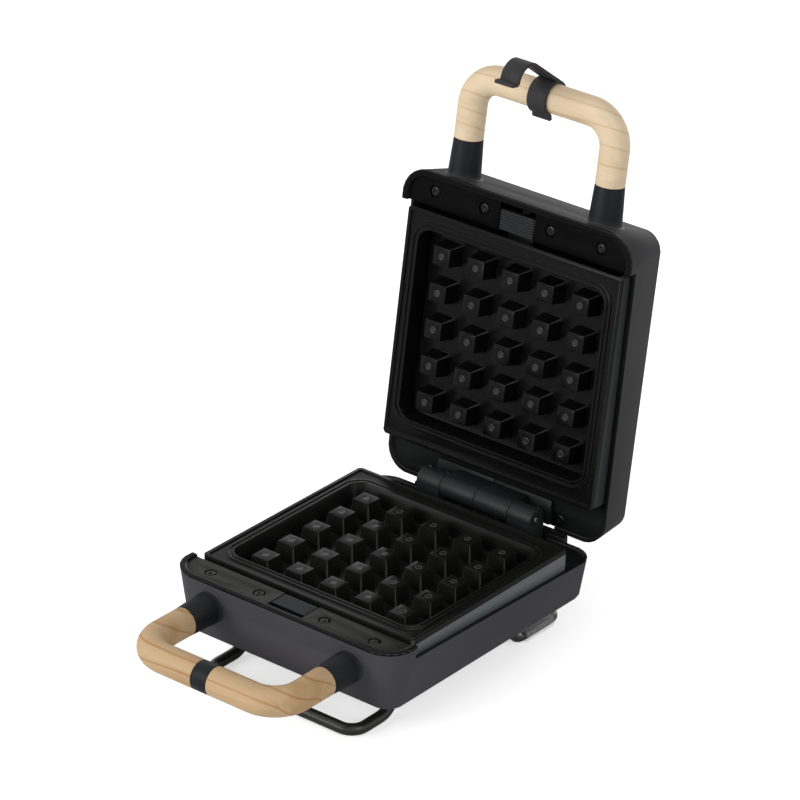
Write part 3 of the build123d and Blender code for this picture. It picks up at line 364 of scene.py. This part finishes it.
def painted_edge_highlight(tree, half):
    """1 on rounded outer edges, whose normal lies along none of the half's own directions: where a highlight
    is painted on the plate.
    """
    largest = None
    for way in ((1.0, 0.0, 0.0), (0.0, 1.0, 0.0), (0.0, 0.0, 1.0)):
        size = add(tree, "ShaderNodeMath", operation="ABSOLUTE")
        tree.links.new(along(tree, half, "Normal", (0.0, 0.0, 0.0), way), size.inputs[0])
        value = size.outputs["Value"]
        if largest is not None:
            both = add(tree, "ShaderNodeMath", operation="MAXIMUM")
            tree.links.new(largest, both.inputs[0])
            tree.links.new(value, both.inputs[1])
            value = both.outputs["Value"]
        largest = value
    outer = step(tree, add(tree, "ShaderNodeNewGeometry").outputs["Pointiness"], 0.505, 0.53)
    return product(tree, step(tree, largest, 0.95, 0.86), outer)


def nonstick(half):
    """The black coating of a cast plate, with a faint orange peel and painted highlights on its rounded
    edges, and the bare grey skirt below it, both in the half's lighter or darker copy as painted light and
    shade.
    """
    mat, tree, shader = material(half + "_nonstick")
    place = stretched(tree)
    peel = noise(tree, place, 420.0, 2.0)
    fine = noise(tree, place, 2600.0, 3.0, 0.6)
    cloud = noise(tree, place, 35.0, 3.0)
    black, grey = PLATE_TONES[half]
    coating = ramp(tree, cloud, [(0.3, tint(black, 0.8)), (0.7, tint(black, 1.2))])
    bare = ramp(tree, cloud, [(0.3, tint(grey, 0.93)), (0.7, tint(grey, 1.07))])
    glint = ramp(tree, cloud, [(0.3, PAINTED_EDGE_GLINT), (0.7, tint(PAINTED_EDGE_GLINT, 1.3))])
    # Rounded edges are lightened to the glint colour: a painted highlight.
    coating = blend(tree, painted_edge_highlight(tree, half), coating, glint)
    colour = blend(tree, below_flange(tree, half), coating, bare)
    tree.links.new(colour, shader.inputs["Base Color"])
    tree.links.new(spread(tree, fine, 0.2, 0.3), shader.inputs["Roughness"])
    shader.inputs["Specular IOR Level"].default_value = 0.1
    bump(tree, shader, [(peel, 0.00004, 0.22), (fine, 0.000012, 0.3)])
    return mat


def maple(name, seed, tone, red):
    """Pale maple: long soft figure, a few thin growth lines and fine fibres, all nearly along X."""
    mat, tree, shader = material(name)
    coords = add(tree, "ShaderNodeTexCoord")
    mapping = add(tree, "ShaderNodeMapping")
    mapping.inputs["Location"].default_value = (seed * 0.37, seed * 0.11, seed * 0.23)
    mapping.inputs["Rotation"].default_value = (math.radians(32.0), math.radians(4.0), math.radians(-9.0))
    mapping.inputs["Scale"].default_value = (0.16, 1.0, 1.0)
    tree.links.new(coords.outputs["Object"], mapping.inputs["Vector"])
    place = mapping.outputs["Vector"]
    broad = noise(tree, place, 60.0, 3.0, 0.5, 0.8)
    warm = tuple(c * (1.0 + r) / 2 for c, r in zip(tone, red))
    pale = ramp(tree, broad, [(0.32, tint(tone, 1.06)), (0.5, tone), (0.7, warm)])
    rings = add(tree, "ShaderNodeTexWave", wave_type="BANDS", bands_direction="Z")
    rings.inputs["Scale"].default_value = 30.0
    rings.inputs["Distortion"].default_value = 6.0
    rings.inputs["Detail"].default_value = 2.0
    rings.inputs["Detail Scale"].default_value = 0.8
    tree.links.new(place, rings.inputs["Vector"])
    lines = ramp(tree, rings.outputs["Fac"], [(0.0, (1, 1, 1)), (0.93, (1, 1, 1)), (0.995, red)])
    ringed = blend(tree, 0.75, pale, lines, "MULTIPLY")
    fibres = noise(tree, stretched(tree, (0.05, 1.0, 1.0)), 700.0, 3.0, 0.6)
    streaks = ramp(tree, fibres, [(0.4, (1, 1, 1)), (0.8, (0.84, 0.72, 0.56))])
    tree.links.new(blend(tree, 0.25, ringed, streaks, "MULTIPLY"), shader.inputs["Base Color"])
    tree.links.new(spread(tree, fibres, 0.48, 0.6), shader.inputs["Roughness"])
    shader.inputs["Specular IOR Level"].default_value = 0.25
    bump(tree, shader, [(fibres, GRAIN_DEPTH, 0.2)])
    return mat


def collar_plastic(half):
    """The black collars, which fade into the housing's grey, in its half's lighter or darker copy as painted
    light and shade, where they flare out of its wall.
    """
    mat, tree, shader = material(half + "_collar_plastic")
    place = stretched(tree)
    fine = noise(tree, place, 1500.0, 3.0, 0.6)
    black = ramp(tree, fine, [(0.3, (0.0065, 0.0072, 0.0085)), (0.7, (0.0085, 0.0095, 0.011))])
    grey = ramp(tree, fine, [(0.3, tint(HOUSING_TONES[half], 0.93)), (0.7, HOUSING_TONES[half])])
    out = along(tree, half, "Object", PLACES[half] @ Vector((0.0, BODY_FRONT, 0.0)), (0.0, -1.0, 0.0))
    colour = blend(tree, step(tree, out, -2.6 * MM, 3.4 * MM), grey, black)
    tree.links.new(colour, shader.inputs["Base Color"])
    tree.links.new(spread(tree, fine, 0.42, 0.54), shader.inputs["Roughness"])
    shader.inputs["Specular IOR Level"].default_value = 0.14
    bump(tree, shader, [(fine, GRAIN_DEPTH, 0.35)])
    return mat


def ribbed(half):
    """The slider's pad, with blue-grey ribs, lighter on the lower half and darker on the lid as painted light
    and shade, and painted shade darkening the grooves between them.
    """
    mat, tree, shader = material(half + "_slider_moulding")
    place = stretched(tree)
    fine = noise(tree, place, 1800.0, 3.0, 0.6)
    ribs = ramp(tree, fine, [(0.3, tint(RIB_TONES[half], 0.85)), (0.7, RIB_TONES[half])])
    grooves = ramp(tree, fine, [(0.3, (0.004, 0.004, 0.004)), (0.7, (0.006, 0.006, 0.006))])
    # Below the ribs' tops the grooves are painted near black: painted shade.
    deep = step(tree, depth_below(tree, half), 0.9 * MM, 1.1 * MM)
    tree.links.new(blend(tree, deep, ribs, grooves), shader.inputs["Base Color"])
    tree.links.new(spread(tree, fine, 0.4, 0.5), shader.inputs["Roughness"])
    shader.inputs["Specular IOR Level"].default_value = 0.15
    bump(tree, shader, [(fine, GRAIN_DEPTH, 0.3)])
    return mat


def clear_soft(name):
    """The clear soft plastic of the sleeves on the rear stand."""
    mat, tree, shader = material(name)
    place = stretched(tree)
    waves = noise(tree, place, 60.0, 2.0)
    colours = ramp(tree, waves, [(0.3, (0.6, 0.61, 0.61)), (0.7, (0.7, 0.71, 0.71))])
    tree.links.new(colours, shader.inputs["Base Color"])
    tree.links.new(spread(tree, waves, 0.12, 0.2), shader.inputs["Roughness"])
    shader.inputs["Alpha"].default_value = 0.17
    return mat


# Two copies of one deck moulding, lighter on the lower half and nearly black on the lid: painted light and
# shade.
DECK = {
    "base": moulded("base_deck_moulding", (0.0155, 0.016, 0.014), 0.4, 0.52, 0.12),
    "lid": moulded("lid_deck_moulding", (0.0025, 0.0027, 0.0025), 0.45, 0.55, 0.03),
}
BLACK = moulded("black_moulding", (0.0105, 0.0108, 0.0105), 0.36, 0.5, 0.14)
LIP = moulded("glossy_lip", (0.003, 0.003, 0.0031), 0.2, 0.28, 0.06)
INNER = moulded("inner_moulding", (0.006, 0.0065, 0.0065), 0.42, 0.56, 0.08)
HINGE = moulded("hinge_moulding", (0.0115, 0.0125, 0.0132), 0.42, 0.54, 0.2)
BAND = moulded("band_moulding", (0.0105, 0.0118, 0.0142), 0.42, 0.56, 0.14)
LATCH = moulded("latch_moulding", (0.035, 0.034, 0.036), 0.5, 0.62, 0.15)
WIRE = moulded("coated_wire", (0.0185, 0.0185, 0.0165), 0.26, 0.36, 0.4)
RUBBER = moulded("gland_rubber", (0.012, 0.012, 0.012), 0.6, 0.75, 0.25, 900.0)
CERAMIC = moulded("glazed_ceramic", (0.72, 0.69, 0.62), 0.3, 0.45, 0.5)
SLEEVING = moulded("fuse_sleeving", (0.68, 0.65, 0.56), 0.7, 0.85, 0.3, 1200.0)
SCREW = moulded("black_screw", (0.004, 0.004, 0.004), 0.16, 0.24, 0.2)
SPRING = metal("spring_steel", (0.09, 0.09, 0.09), 0.35, 0.5)
STEEL = metal("bright_steel", (0.56, 0.56, 0.57), 0.24, 0.38)
SHEET = metal("tray_sheet", (0.75, 0.75, 0.74), 0.3, 0.45, stretch=(0.1, 1.0, 1.0))
SHEATH = metal("element_sheath", (0.32, 0.3, 0.28), 0.45, 0.6)
CLEAR = clear_soft("clear_sleeve")
DOWEL = maple("dowel_wood", 9, *WOOD_TONES["lid"])
GRAIN_SEEDS = {("base", "right"): 17, ("base", "left"): 16, ("lid", "right"): 14, ("lid", "left"): 13}
# The stud rings are coloured lighter than the plate's coating as a painted glint, lighter on the lower half
# and darker on the lid as painted light and shade.
STUD_RING_GLINT = {
    "base": moulded("base_stud_ring_painted_glint", (0.022, 0.022, 0.021), 0.16, 0.24, 0.4),
    "lid": moulded("lid_stud_ring_painted_glint", (0.012, 0.012, 0.0115), 0.16, 0.24, 0.4),
}

SKINS = {
    "slider_spring": SPRING, "inner_frame": INNER, "reflector_tray": SHEET, "heating_element": SHEATH,
    "element_clips": CERAMIC, "thermostat": CERAMIC, "hinge_leaves": HINGE, "grip_dowel": DOWEL,
    "handle_screws": SCREW,
}
OTHERS = {
    "latch_clip": LATCH, "hinge_pin": STEEL, "stand_saddles": BLACK, "rear_cover": BLACK,
    "cord_gland": RUBBER, "terminal_block": CERAMIC, "thermal_fuse": SLEEVING,
}


# The CAD nodes that stay: a material each, and softened edges where light catches them

def soften(obj, width, smooth):
    """Joins the faces of a CAD node again and rounds its sharp edges a little."""
    for poly in obj.data.polygons:
        poly.use_smooth = True
    weld = obj.modifiers.new("weld", "WELD")
    weld.merge_threshold = 0.000004
    flat = obj.modifiers.new("flat", "DECIMATE")
    flat.decimate_type = "DISSOLVE"
    flat.angle_limit = math.radians(0.6)
    bevel = obj.modifiers.new("bevel", "BEVEL")
    bevel.width = width
    bevel.segments = 2
    bevel.limit_method = "ANGLE"
    bevel.angle_limit = math.radians(smooth)
    bevel.harden_normals = True
    split = obj.modifiers.new("split", "EDGE_SPLIT")
    split.split_angle = math.radians(smooth)


def dress(name, mat, width, smooth=40.0):
    """Gives a CAD node its material and soft edges."""
    obj = cad[name]
    obj.data.materials.clear()
    obj.data.materials.append(mat)
    soften(obj, width, smooth)


# Width of each node's softened edges, in metres
SMALL_EDGE = 0.0002
EDGES = {"inner_frame": 0.0003, "hinge_leaves": 0.0004, "latch_clip": 0.0004}
for half in ("base", "lid"):
    for part, skin in SKINS.items():
        dress(half + "_" + part, skin, EDGES.get(part, SMALL_EDGE))
    dress(half + "_deck", DECK[half], 0.0003)
    dress(half + "_release_slider", ribbed(half), SMALL_EDGE)
    dress(half + "_housing", housing_paint(half), 0.0008)
    dress(half + "_waffle_plate", nonstick(half), 0.00035, 30.0)
for part, skin in OTHERS.items():
    dress(part, skin, EDGES.get(part, SMALL_EDGE), 50.0)


# Pieces built here, most of them in place of plain CAD solids

def mesh_object(name, verts, faces, mat, place, smooth):
    """A smooth-shaded mesh object, moved from the lower half's working frame to where it belongs."""
    data = bpy.data.meshes.new(name)
    data.from_pydata([tuple(place @ Vector(v)) for v in verts], [], faces)
    bm = bmesh.new()
    bm.from_mesh(data)
    bmesh.ops.remove_doubles(bm, verts=bm.verts, dist=0.0000005)
    bmesh.ops.recalc_face_normals(bm, faces=bm.faces)
    bm.to_mesh(data)
    bm.free()
    for poly in data.polygons:
        poly.use_smooth = True
    data.materials.append(mat)
    obj = bpy.data.objects.new(name, data)
    scene.collection.objects.link(obj)
    split = obj.modifiers.new("split", "EDGE_SPLIT")
    split.split_angle = math.radians(smooth)
    return obj


def bend(points, radii):
    """A route through corner points whose corners are rounded to the radii."""
    points = [Vector(p) for p in points]
    route = [points[0]]
    for before, corner, after, radius in zip(points, points[1:], points[2:], radii):
        u = (before - corner).normalized()
        v = (after - corner).normalized()
        half = u.angle(v) / 2
        reach = radius / math.tan(half)
        centre = corner + (u + v).normalized() * (radius / math.sin(half))
        start = corner + u * reach - centre
        end = corner + v * reach - centre
        turn = start.angle(end)
        count = max(8, int(radius * turn / ARC_STEP))
        axis = start.cross(end).normalized()
        for i in range(count + 1):
            route.append(centre + Matrix.Rotation(turn * i / count, 3, axis) @ start)
    route.append(points[-1])
    return route


def turns(sides):
    """The angles of equal steps round a circle."""
    return [2 * math.pi * k / sides for k in range(sides)]


def rings_along(route, radius, sides):
    """Rings of points round a flat route, with no twist."""
    rings = []
    count = len(route)
    first = (route[1] - route[0]).normalized()
    across = first.orthogonal().normalized()
    for i, point in enumerate(route):
        before = route[max(i - 1, 0)]
        after = route[min(i + 1, count - 1)]
        ahead = (after - before).normalized()
        across = (across - ahead * across.dot(ahead)).normalized()
        up = ahead.cross(across)
        rings.append([point + (across * math.cos(a) + up * math.sin(a)) * radius for a in turns(sides)])
    return rings


def skin_rings(rings, close_ends=True):
    """Vertices and faces of a tube through rings of equal count."""
    sides = len(rings[0])
    verts = [p for ring in rings for p in ring]
    faces = []
    for i in range(len(rings) - 1):
        for k in range(sides):
            a = i * sides + k
            b = i * sides + (k + 1) % sides
            faces.append((a, b, b + sides, a + sides))
    if close_ends:
        faces.append(tuple(range(sides)))
        last = (len(rings) - 1) * sides
        faces.append(tuple(range(last, last + sides)))
    return verts, faces


def joined(parts):
    """The vertices and faces of several parts as one list of each."""
    verts = []
    faces = []
    for more_verts, more_faces in parts:
        faces += [tuple(len(verts) + n for n in face) for face in more_faces]
        verts += more_verts
    return verts, faces


def eased_tube(route, radius, sides, ease):
    """Rings of a tube whose two ends are eased by a small round."""
    rings = rings_along(route, radius, sides)
    out = []
    for end, inward in ((0, 1), (-1, -1)):
        centre = route[end]
        into = (route[end + inward] - centre).normalized()
        eased = []
        for angle in (90, 60, 30, 0):
            sink = ease * (1 - math.cos(math.radians(angle)))
            drop = ease * (1 - math.sin(math.radians(angle)))
            shrink = (radius - sink) / radius
            eased.append([centre + into * drop + (p - centre) * shrink for p in rings[end]])
        out.append(eased)
    return out[0] + rings[1:-1] + out[1][::-1]


def grip(half, side):
    """One bent wooden grip, truly round, with eased ends."""
    sign = 1 if side == "right" else -1
    corners = [
        (sign * HANDLE_X, COLLAR_END - SEAM, HANDLE_Z),
        (sign * HANDLE_X, HANDLE_Y, HANDLE_Z),
        (sign * (BAND_W / 2 + SEAM), HANDLE_Y, HANDLE_Z),
    ]
    route = bend(corners, [HANDLE_BEND])
    verts, faces = skin_rings(eased_tube(route, HANDLE_R, WIDE_SIDES, WOOD_EASE))
    name = half + "_wooden_grip_" + side
    skin = maple(half + "_maple_" + side, GRAIN_SEEDS[half, side], *WOOD_TONES[half])
    obj = mesh_object(name, verts, faces, skin, PLACES[half], 60.0)
    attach(obj, half)
    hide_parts(half + "_grip_" + side)


def band(half):
    """The black band between the two grips."""
    route = [Vector((x, HANDLE_Y, HANDLE_Z)) for x in (-BAND_W / 2, 0.0, BAND_W / 2)]
    verts, faces = skin_rings(eased_tube(route, HANDLE_R, WIDE_SIDES, END_EASE))
    obj = mesh_object(half + "_handle_band", verts, faces, BAND, PLACES[half], 60.0)
    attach(obj, half)
    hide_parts(half + "_grip_band")


def collars(half):
    """The two tapered collars, with a soft flare that follows the drafted wall they grow out of."""
    start = front_wall(HANDLE_Z)
    length = start - COLLAR_END
    profile = [(COLLAR_ROOT_R + COLLAR_FLARE, -0.3 * MM)]
    for angle in range(0, 100, 10):
        a = math.radians(angle)
        profile.append((COLLAR_ROOT_R + COLLAR_FLARE * (1 - math.sin(a)), COLLAR_FLARE * (1 - math.cos(a))))
    profile += [
        (HANDLE_R + 0.02 * MM, length - 0.5 * MM),
        (HANDLE_R - 0.15 * MM, length - 0.1 * MM),
        (HANDLE_R - 0.4 * MM, length),
    ]
    both = []
    for sign in (-1, 1):
        rings = []
        for radius, distance in profile:
            lean = max(0.0, 1.0 - distance / (length * 0.8))
            ring = []
            for a in turns(WIDE_SIDES):
                z = HANDLE_Z + radius * math.sin(a)
                y = start - distance + (front_wall(z) - start) * lean
                ring.append(Vector((sign * HANDLE_X + radius * math.cos(a), y, z)))
            rings.append(ring)
        both.append(skin_rings(rings))
    verts, faces = joined(both)
    obj = mesh_object(half + "_collars", verts, faces, collar_plastic(half), PLACES[half], 50.0)
    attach(obj, half)
    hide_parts(half + "_handle_collars")


def wire_stand(name):
    """A bent wire, truly round."""
    x, end_y, radius, low_z, floor_run, way = WIRES[name]
    top_z = -HALF_H - radius - WIRE_GAP
    knee = end_y + way * floor_run
    top = knee + way * (top_z - low_z)
    tail = top + way * WIRE_TOP_RUN
    leg = [(x, tail, top_z), (x, top, top_z), (x, knee, low_z), (x, end_y, low_z)]
    corners = [(-px, py, pz) for px, py, pz in leg] + leg[::-1]
    radii = [WIRE_BEND_R, WIRE_BEND_R, WIRE_CORNER_R]
    route = bend(corners, radii + radii[::-1])
    verts, faces = skin_rings(eased_tube(route, radius, WIRE_SIDES, END_EASE))
    obj = mesh_object(name.replace("_stand", "_wire"), verts, faces, WIRE, SHIFT, 60.0)
    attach(obj, "base")
    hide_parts(name)


def sleeves():
    """The two clear sleeves on the rear wire, flat where they stand on the table."""
    x, end_y, radius, low_z, _, _ = WIRES["rear_stand"]
    start = end_y - WIRE_CORNER_R - SLEEVE_L
    inner = radius + SLEEVE_GAP
    profile = [(inner, 0.0), (SLEEVE_R - SLEEVE_EASE, 0.0)]
    for angle in (30, 60, 90):
        a = math.radians(angle)
        profile.append((SLEEVE_R - SLEEVE_EASE * (1 - math.sin(a)), SLEEVE_EASE * (1 - math.cos(a))))
    profile += [(r, SLEEVE_L - d) for r, d in reversed(profile)]
    sides = HEAD_SIDES
    count = len(profile)
    around = []
    for i in range(count):
        for k in range(sides):
            j = (i + 1) % count
            m = (k + 1) % sides
            around.append((i * sides + k, i * sides + m, j * sides + m, j * sides + k))
    both = []
    for sign in (-1, 1):
        points = []
        for r, d in profile:
            for a in turns(sides):
                z = max(low_z + r * math.sin(a), FLOOR_Z + 0.02 * MM)
                points.append(Vector((sign * x + r * math.cos(a), start + d, z)))
        both.append((points, around))
    verts, faces = joined(both)
    obj = mesh_object("clear_sleeves", verts, faces, CLEAR, SHIFT, 50.0)
    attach(obj, "base")
    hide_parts("rear_stand_sleeves")


def pan_head(radius, height):
    """Vertices and faces of a domed screw head on Z = 0, with a cross recess pressed into it."""
    rings = []
    for share, z in ((1.0, 0.0), (1.0, 0.42), (0.97, 0.6), (0.9, 0.74), (0.8, 0.85), (0.68, 0.93)):
        r = radius * share
        rings.append([Vector((r * math.cos(a), r * math.sin(a), height * z)) for a in turns(HEAD_SIDES)])
    arm = radius * 0.5
    slot = radius * 0.12
    steps = 12
    for i in range(steps, 0, -1):
        r = radius * 0.62 * i / steps
        dome = height * (1.0 - 0.05 * (i / steps) ** 2)
        ring = []
        for a in turns(HEAD_SIDES):
            u, v = abs(r * math.cos(a)), abs(r * math.sin(a))
            inside = min(u, v) < slot and max(u, v) < arm
            depth = height * 0.6 * (1.0 - max(u, v) / (arm * 1.6)) if inside else 0.0
            ring.append(Vector((r * math.cos(a), r * math.sin(a), dome - depth)))
        rings.append(ring)
    return skin_rings(rings)


def mirrored(spots):
    """Each spot's mirror image across X, and the spot itself."""
    return [(side * x, *rest) for x, *rest in spots for side in (-1, 1)]


def cross_screws(node, body, place, spots, facing=0.0):
    """Cross-head screws at (x, y, seat, head radius, shank length) and mirrored, turned about X if asked."""
    screws = []
    for i, (x, y, seat, radius, length) in enumerate(mirrored(spots)):
        shank = [Vector((0.0, 0.0, -length)), Vector((0.0, 0.0, 0.1 * MM))]
        parts = joined([pan_head(radius, SCREW_HEAD_H), skin_rings(rings_along(shank, SCREW_R, SMALL_SIDES))])
        move = Matrix.Translation((x, y, seat)) @ Matrix.Rotation(math.radians(facing), 4, "X")
        move = move @ Matrix.Rotation(math.radians(25.0 + 37.0 * i), 4, "Z")
        screws.append(([move @ v for v in parts[0]], parts[1]))
    verts, faces = joined(screws)
    obj = mesh_object(node.replace("_screws", "_cross_screws"), verts, faces, SCREW, place, 40.0)
    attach(obj, body)
    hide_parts(node)


def lip(half):
    """The glossy black lip over the edge of the front deck and round both its corners."""
    outline = [(Vector((-BODY_HALF_W, STEP_Y)), Vector((1.0, 0.0)))]
    steps = 16
    for side in (-1, 1):
        middle = Vector((side * (BODY_HALF_W - BODY_CORNER_R), BODY_FRONT + BODY_CORNER_R))
        for i in range(steps + 1):
            a = math.pi / 2 * i / steps
            a = a if side < 0 else math.pi / 2 - a
            out = Vector((side * math.cos(a), -math.sin(a)))
            outline.append((middle + out * BODY_CORNER_R, -out))
    outline.append((Vector((BODY_HALF_W, STEP_Y)), Vector((-1.0, 0.0))))
    # In millimetres: how far in from the housing's edge, and the height
    profile = [
        (0.25, -1.3), (0.02, -1.2), (-0.07, -0.6), (-0.04, 0.0), (0.16, 0.26), (0.5, 0.4), (1.2, 0.45),
        (2.6, 0.4), (3.5, 0.2), (4.0, -0.2), (4.2, -0.78), (3.9, -1.0), (1.6, -1.3),
    ]
    rings = []
    for edge, inward in outline:
        ring = []
        for depth, z in profile:
            flat = edge + inward * (depth * MM)
            ring.append(Vector((flat.x, flat.y, z * MM)))
        rings.append(ring)
    verts, faces = skin_rings(rings)
    obj = mesh_object(half + "_glossy_lip", verts, faces, LIP, PLACES[half], 40.0)
    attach(obj, half)


def dimples(half):
    """The raised ring and button in the dimple on top of each stud, coloured lighter than the coating as a
    painted glint.
    """
    # In millimetres: radius, and height over the stud's top
    profile = [
        (2.15, -0.02), (2.05, 0.16), (1.8, 0.22), (1.55, 0.12), (1.3, -0.25), (0.85, -0.5), (0.7, -0.3),
        (0.4, -0.2), (0.05, -0.17),
    ]
    each = []
    for i in range(STUD_COUNT * STUD_COUNT):
        x = (i % STUD_COUNT - (STUD_COUNT - 1) / 2) * STUD_PITCH_X
        y = CAVITY_MID + (i // STUD_COUNT - (STUD_COUNT - 1) / 2) * STUD_PITCH_Y
        rings = []
        for r, z in profile:
            rings.append([
                Vector((x + r * MM * math.cos(a), y + r * MM * math.sin(a), STUD_TOP + z * MM))
                for a in turns(SMALL_SIDES)
            ])
        each.append(skin_rings(rings))
    verts, faces = joined(each)
    obj = mesh_object(half + "_stud_rings", verts, faces, STUD_RING_GLINT[half], PLACES[half], 60.0)
    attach(obj, half)


def barrel(half):
    """The round sleeves of a half's two knuckles, with eased ends."""
    start, end = KNUCKLES[half]
    both = []
    for sign in (-1, 1):
        route = [Vector((sign * x, HINGE_Y, HINGE_Z)) for x in (start, (start + end) / 2, end)]
        both.append(skin_rings(eased_tube(route, BARREL_R + BARREL_SKIN, WIDE_SIDES, END_EASE), False))
    verts, faces = joined(both)
    obj = mesh_object(half + "_hinge_barrel", verts, faces, HINGE, SHIFT, 50.0)
    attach(obj, half)


for half in ("base", "lid"):
    for side in ("right", "left"):
        grip(half, side)
    band(half)
    collars(half)
    lip(half)
    barrel(half)
    dimples(half)
    rear_deck = rim_height(half, BODY_BACK) - REAR_DECK_DROP
    place = PLACES[half]
    cross_screws(half + "_deck_screws", half, place, [
        (x, DECK_SCREW_Y, DECK_TOP - DECK_SCREW_SINK, SCREW_HEAD_R, DECK_SCREW_L) for x in DECK_SCREW_X
    ])
    cross_screws(half + "_frame_screws", half, place, [
        FRAME_SCREW,
        (REAR_SCREW_X, REAR_SCREW_Y, rear_deck, SCREW_HEAD_R, rear_deck - FRAME_TOP + REAR_SCREW_BITE),
    ])
    cross_screws(half + "_hinge_screws", half, place, [
        (HINGE_SCREW_X[half], HINGE_Y, rear_deck + LEAF_T, SCREW_HEAD_R, HINGE_SCREW_L)
    ])
cross_screws("cover_screws", "base", SHIFT, [COVER_SCREW], -90.0)
cross_screws("stand_screws", "base", SHIFT, STAND_SCREWS, 180.0)
wire_stand("front_stand")
wire_stand("rear_stand")
sleeves()


# The floor, the lights and the camera

def studio_floor():
    """A pale floor that keeps the object's shadow."""
    mat, tree, shader = material("studio_floor")
    shader.inputs["Base Color"].default_value = (0.97, 0.97, 0.97, 1.0)
    shader.inputs["Roughness"].default_value = 0.8
    shader.inputs["Specular IOR Level"].default_value = 0.1
    glow = add(tree, "ShaderNodeEmission")
    glow.inputs["Color"].default_value = (1.0, 1.0, 1.0, 1.0)
    seen = add(tree, "ShaderNodeLightPath")
    share = add(tree, "ShaderNodeMath", operation="MULTIPLY")
    share.inputs[1].default_value = 0.58
    tree.links.new(seen.outputs["Is Camera Ray"], share.inputs[0])
    tree.links.new(share.outputs["Value"], glow.inputs["Strength"])
    both = add(tree, "ShaderNodeAddShader")
    tree.links.new(shader.outputs["BSDF"], both.inputs[0])
    tree.links.new(glow.outputs["Emission"], both.inputs[1])
    tree.links.new(both.outputs["Shader"], tree.nodes["Material Output"].inputs["Surface"])
    data = bpy.data.meshes.new("studio_floor")
    reach = 6.0
    corners = [(-reach, -reach, 0), (reach, -reach, 0), (reach, reach, 0), (-reach, reach, 0)]
    data.from_pydata(corners, [], [(0, 1, 2, 3)])
    data.materials.append(mat)
    obj = bpy.data.objects.new("studio_floor", data)
    scene.collection.objects.link(obj)


def softbox(name, place, target, size, watts):
    """A rectangular area light aimed at a point."""
    data = bpy.data.lights.new(name, "AREA")
    data.shape = "RECTANGLE"
    data.size, data.size_y = size
    data.energy = watts
    obj = bpy.data.objects.new(name, data)
    scene.collection.objects.link(obj)
    obj.location = place
    aim = Vector(target) - Vector(place)
    obj.rotation_euler = aim.to_track_quat("-Z", "Y").to_euler()


def studio_world():
    """A white surround for the camera and for reflections, and a softer one for light."""
    world = bpy.data.worlds.new("studio")
    scene.world = world
    world.use_nodes = True
    tree = world.node_tree
    back = tree.nodes["Background"]
    back.inputs["Color"].default_value = (1.0, 1.0, 1.0, 1.0)
    seen = add(tree, "ShaderNodeLightPath")
    shown = seen.outputs["Is Camera Ray"]
    for kind in ("Is Glossy Ray", "Is Transmission Ray"):
        either = add(tree, "ShaderNodeMath", operation="MAXIMUM")
        tree.links.new(shown, either.inputs[0])
        tree.links.new(seen.outputs[kind], either.inputs[1])
        shown = either.outputs["Value"]
    level = add(tree, "ShaderNodeMapRange")
    level.inputs["To Min"].default_value = 0.36
    level.inputs["To Max"].default_value = 1.0
    tree.links.new(shown, level.inputs["Value"])
    tree.links.new(level.outputs["Result"], back.inputs["Strength"])


studio_floor()
studio_world()
softbox("key_light", (-1.0, -2.3, 1.2), (0.0, 0.0, 0.1), (1.8, 1.4), 43.0)
softbox("side_light", (2.2, -0.5, 1.5), (0.0, 0.0, 0.15), (1.4, 1.4), 15.0)
softbox("top_light", (0.1, 0.5, 2.4), (0.0, 0.0, 0.0), (1.6, 1.6), 3.5)
softbox("rear_light", (-0.5, 2.7, 0.7), (0.0, 0.0, 0.15), (1.8, 1.2), 12.0)

# The camera's lens, directions and place are fitted to the photograph
camera_data = bpy.data.cameras.new("camera")
camera_data.sensor_width = 36.0
camera_data.lens = 202.822
camera_data.clip_end = 50.0
camera = bpy.data.objects.new("camera", camera_data)
scene.collection.objects.link(camera)
across = Vector((0.781862, 0.62296, 0.024756))
up = Vector((-0.296744, 0.336927, 0.893546))
back = Vector((0.548302, -0.705976, 0.44829))
camera.matrix_world = Matrix.Translation((1.365181, -1.742837, 1.267261)) @ Matrix(
    (across, up, back)
).transposed().to_4x4()
scene.camera = camera

scene.view_settings.view_transform = "Standard"
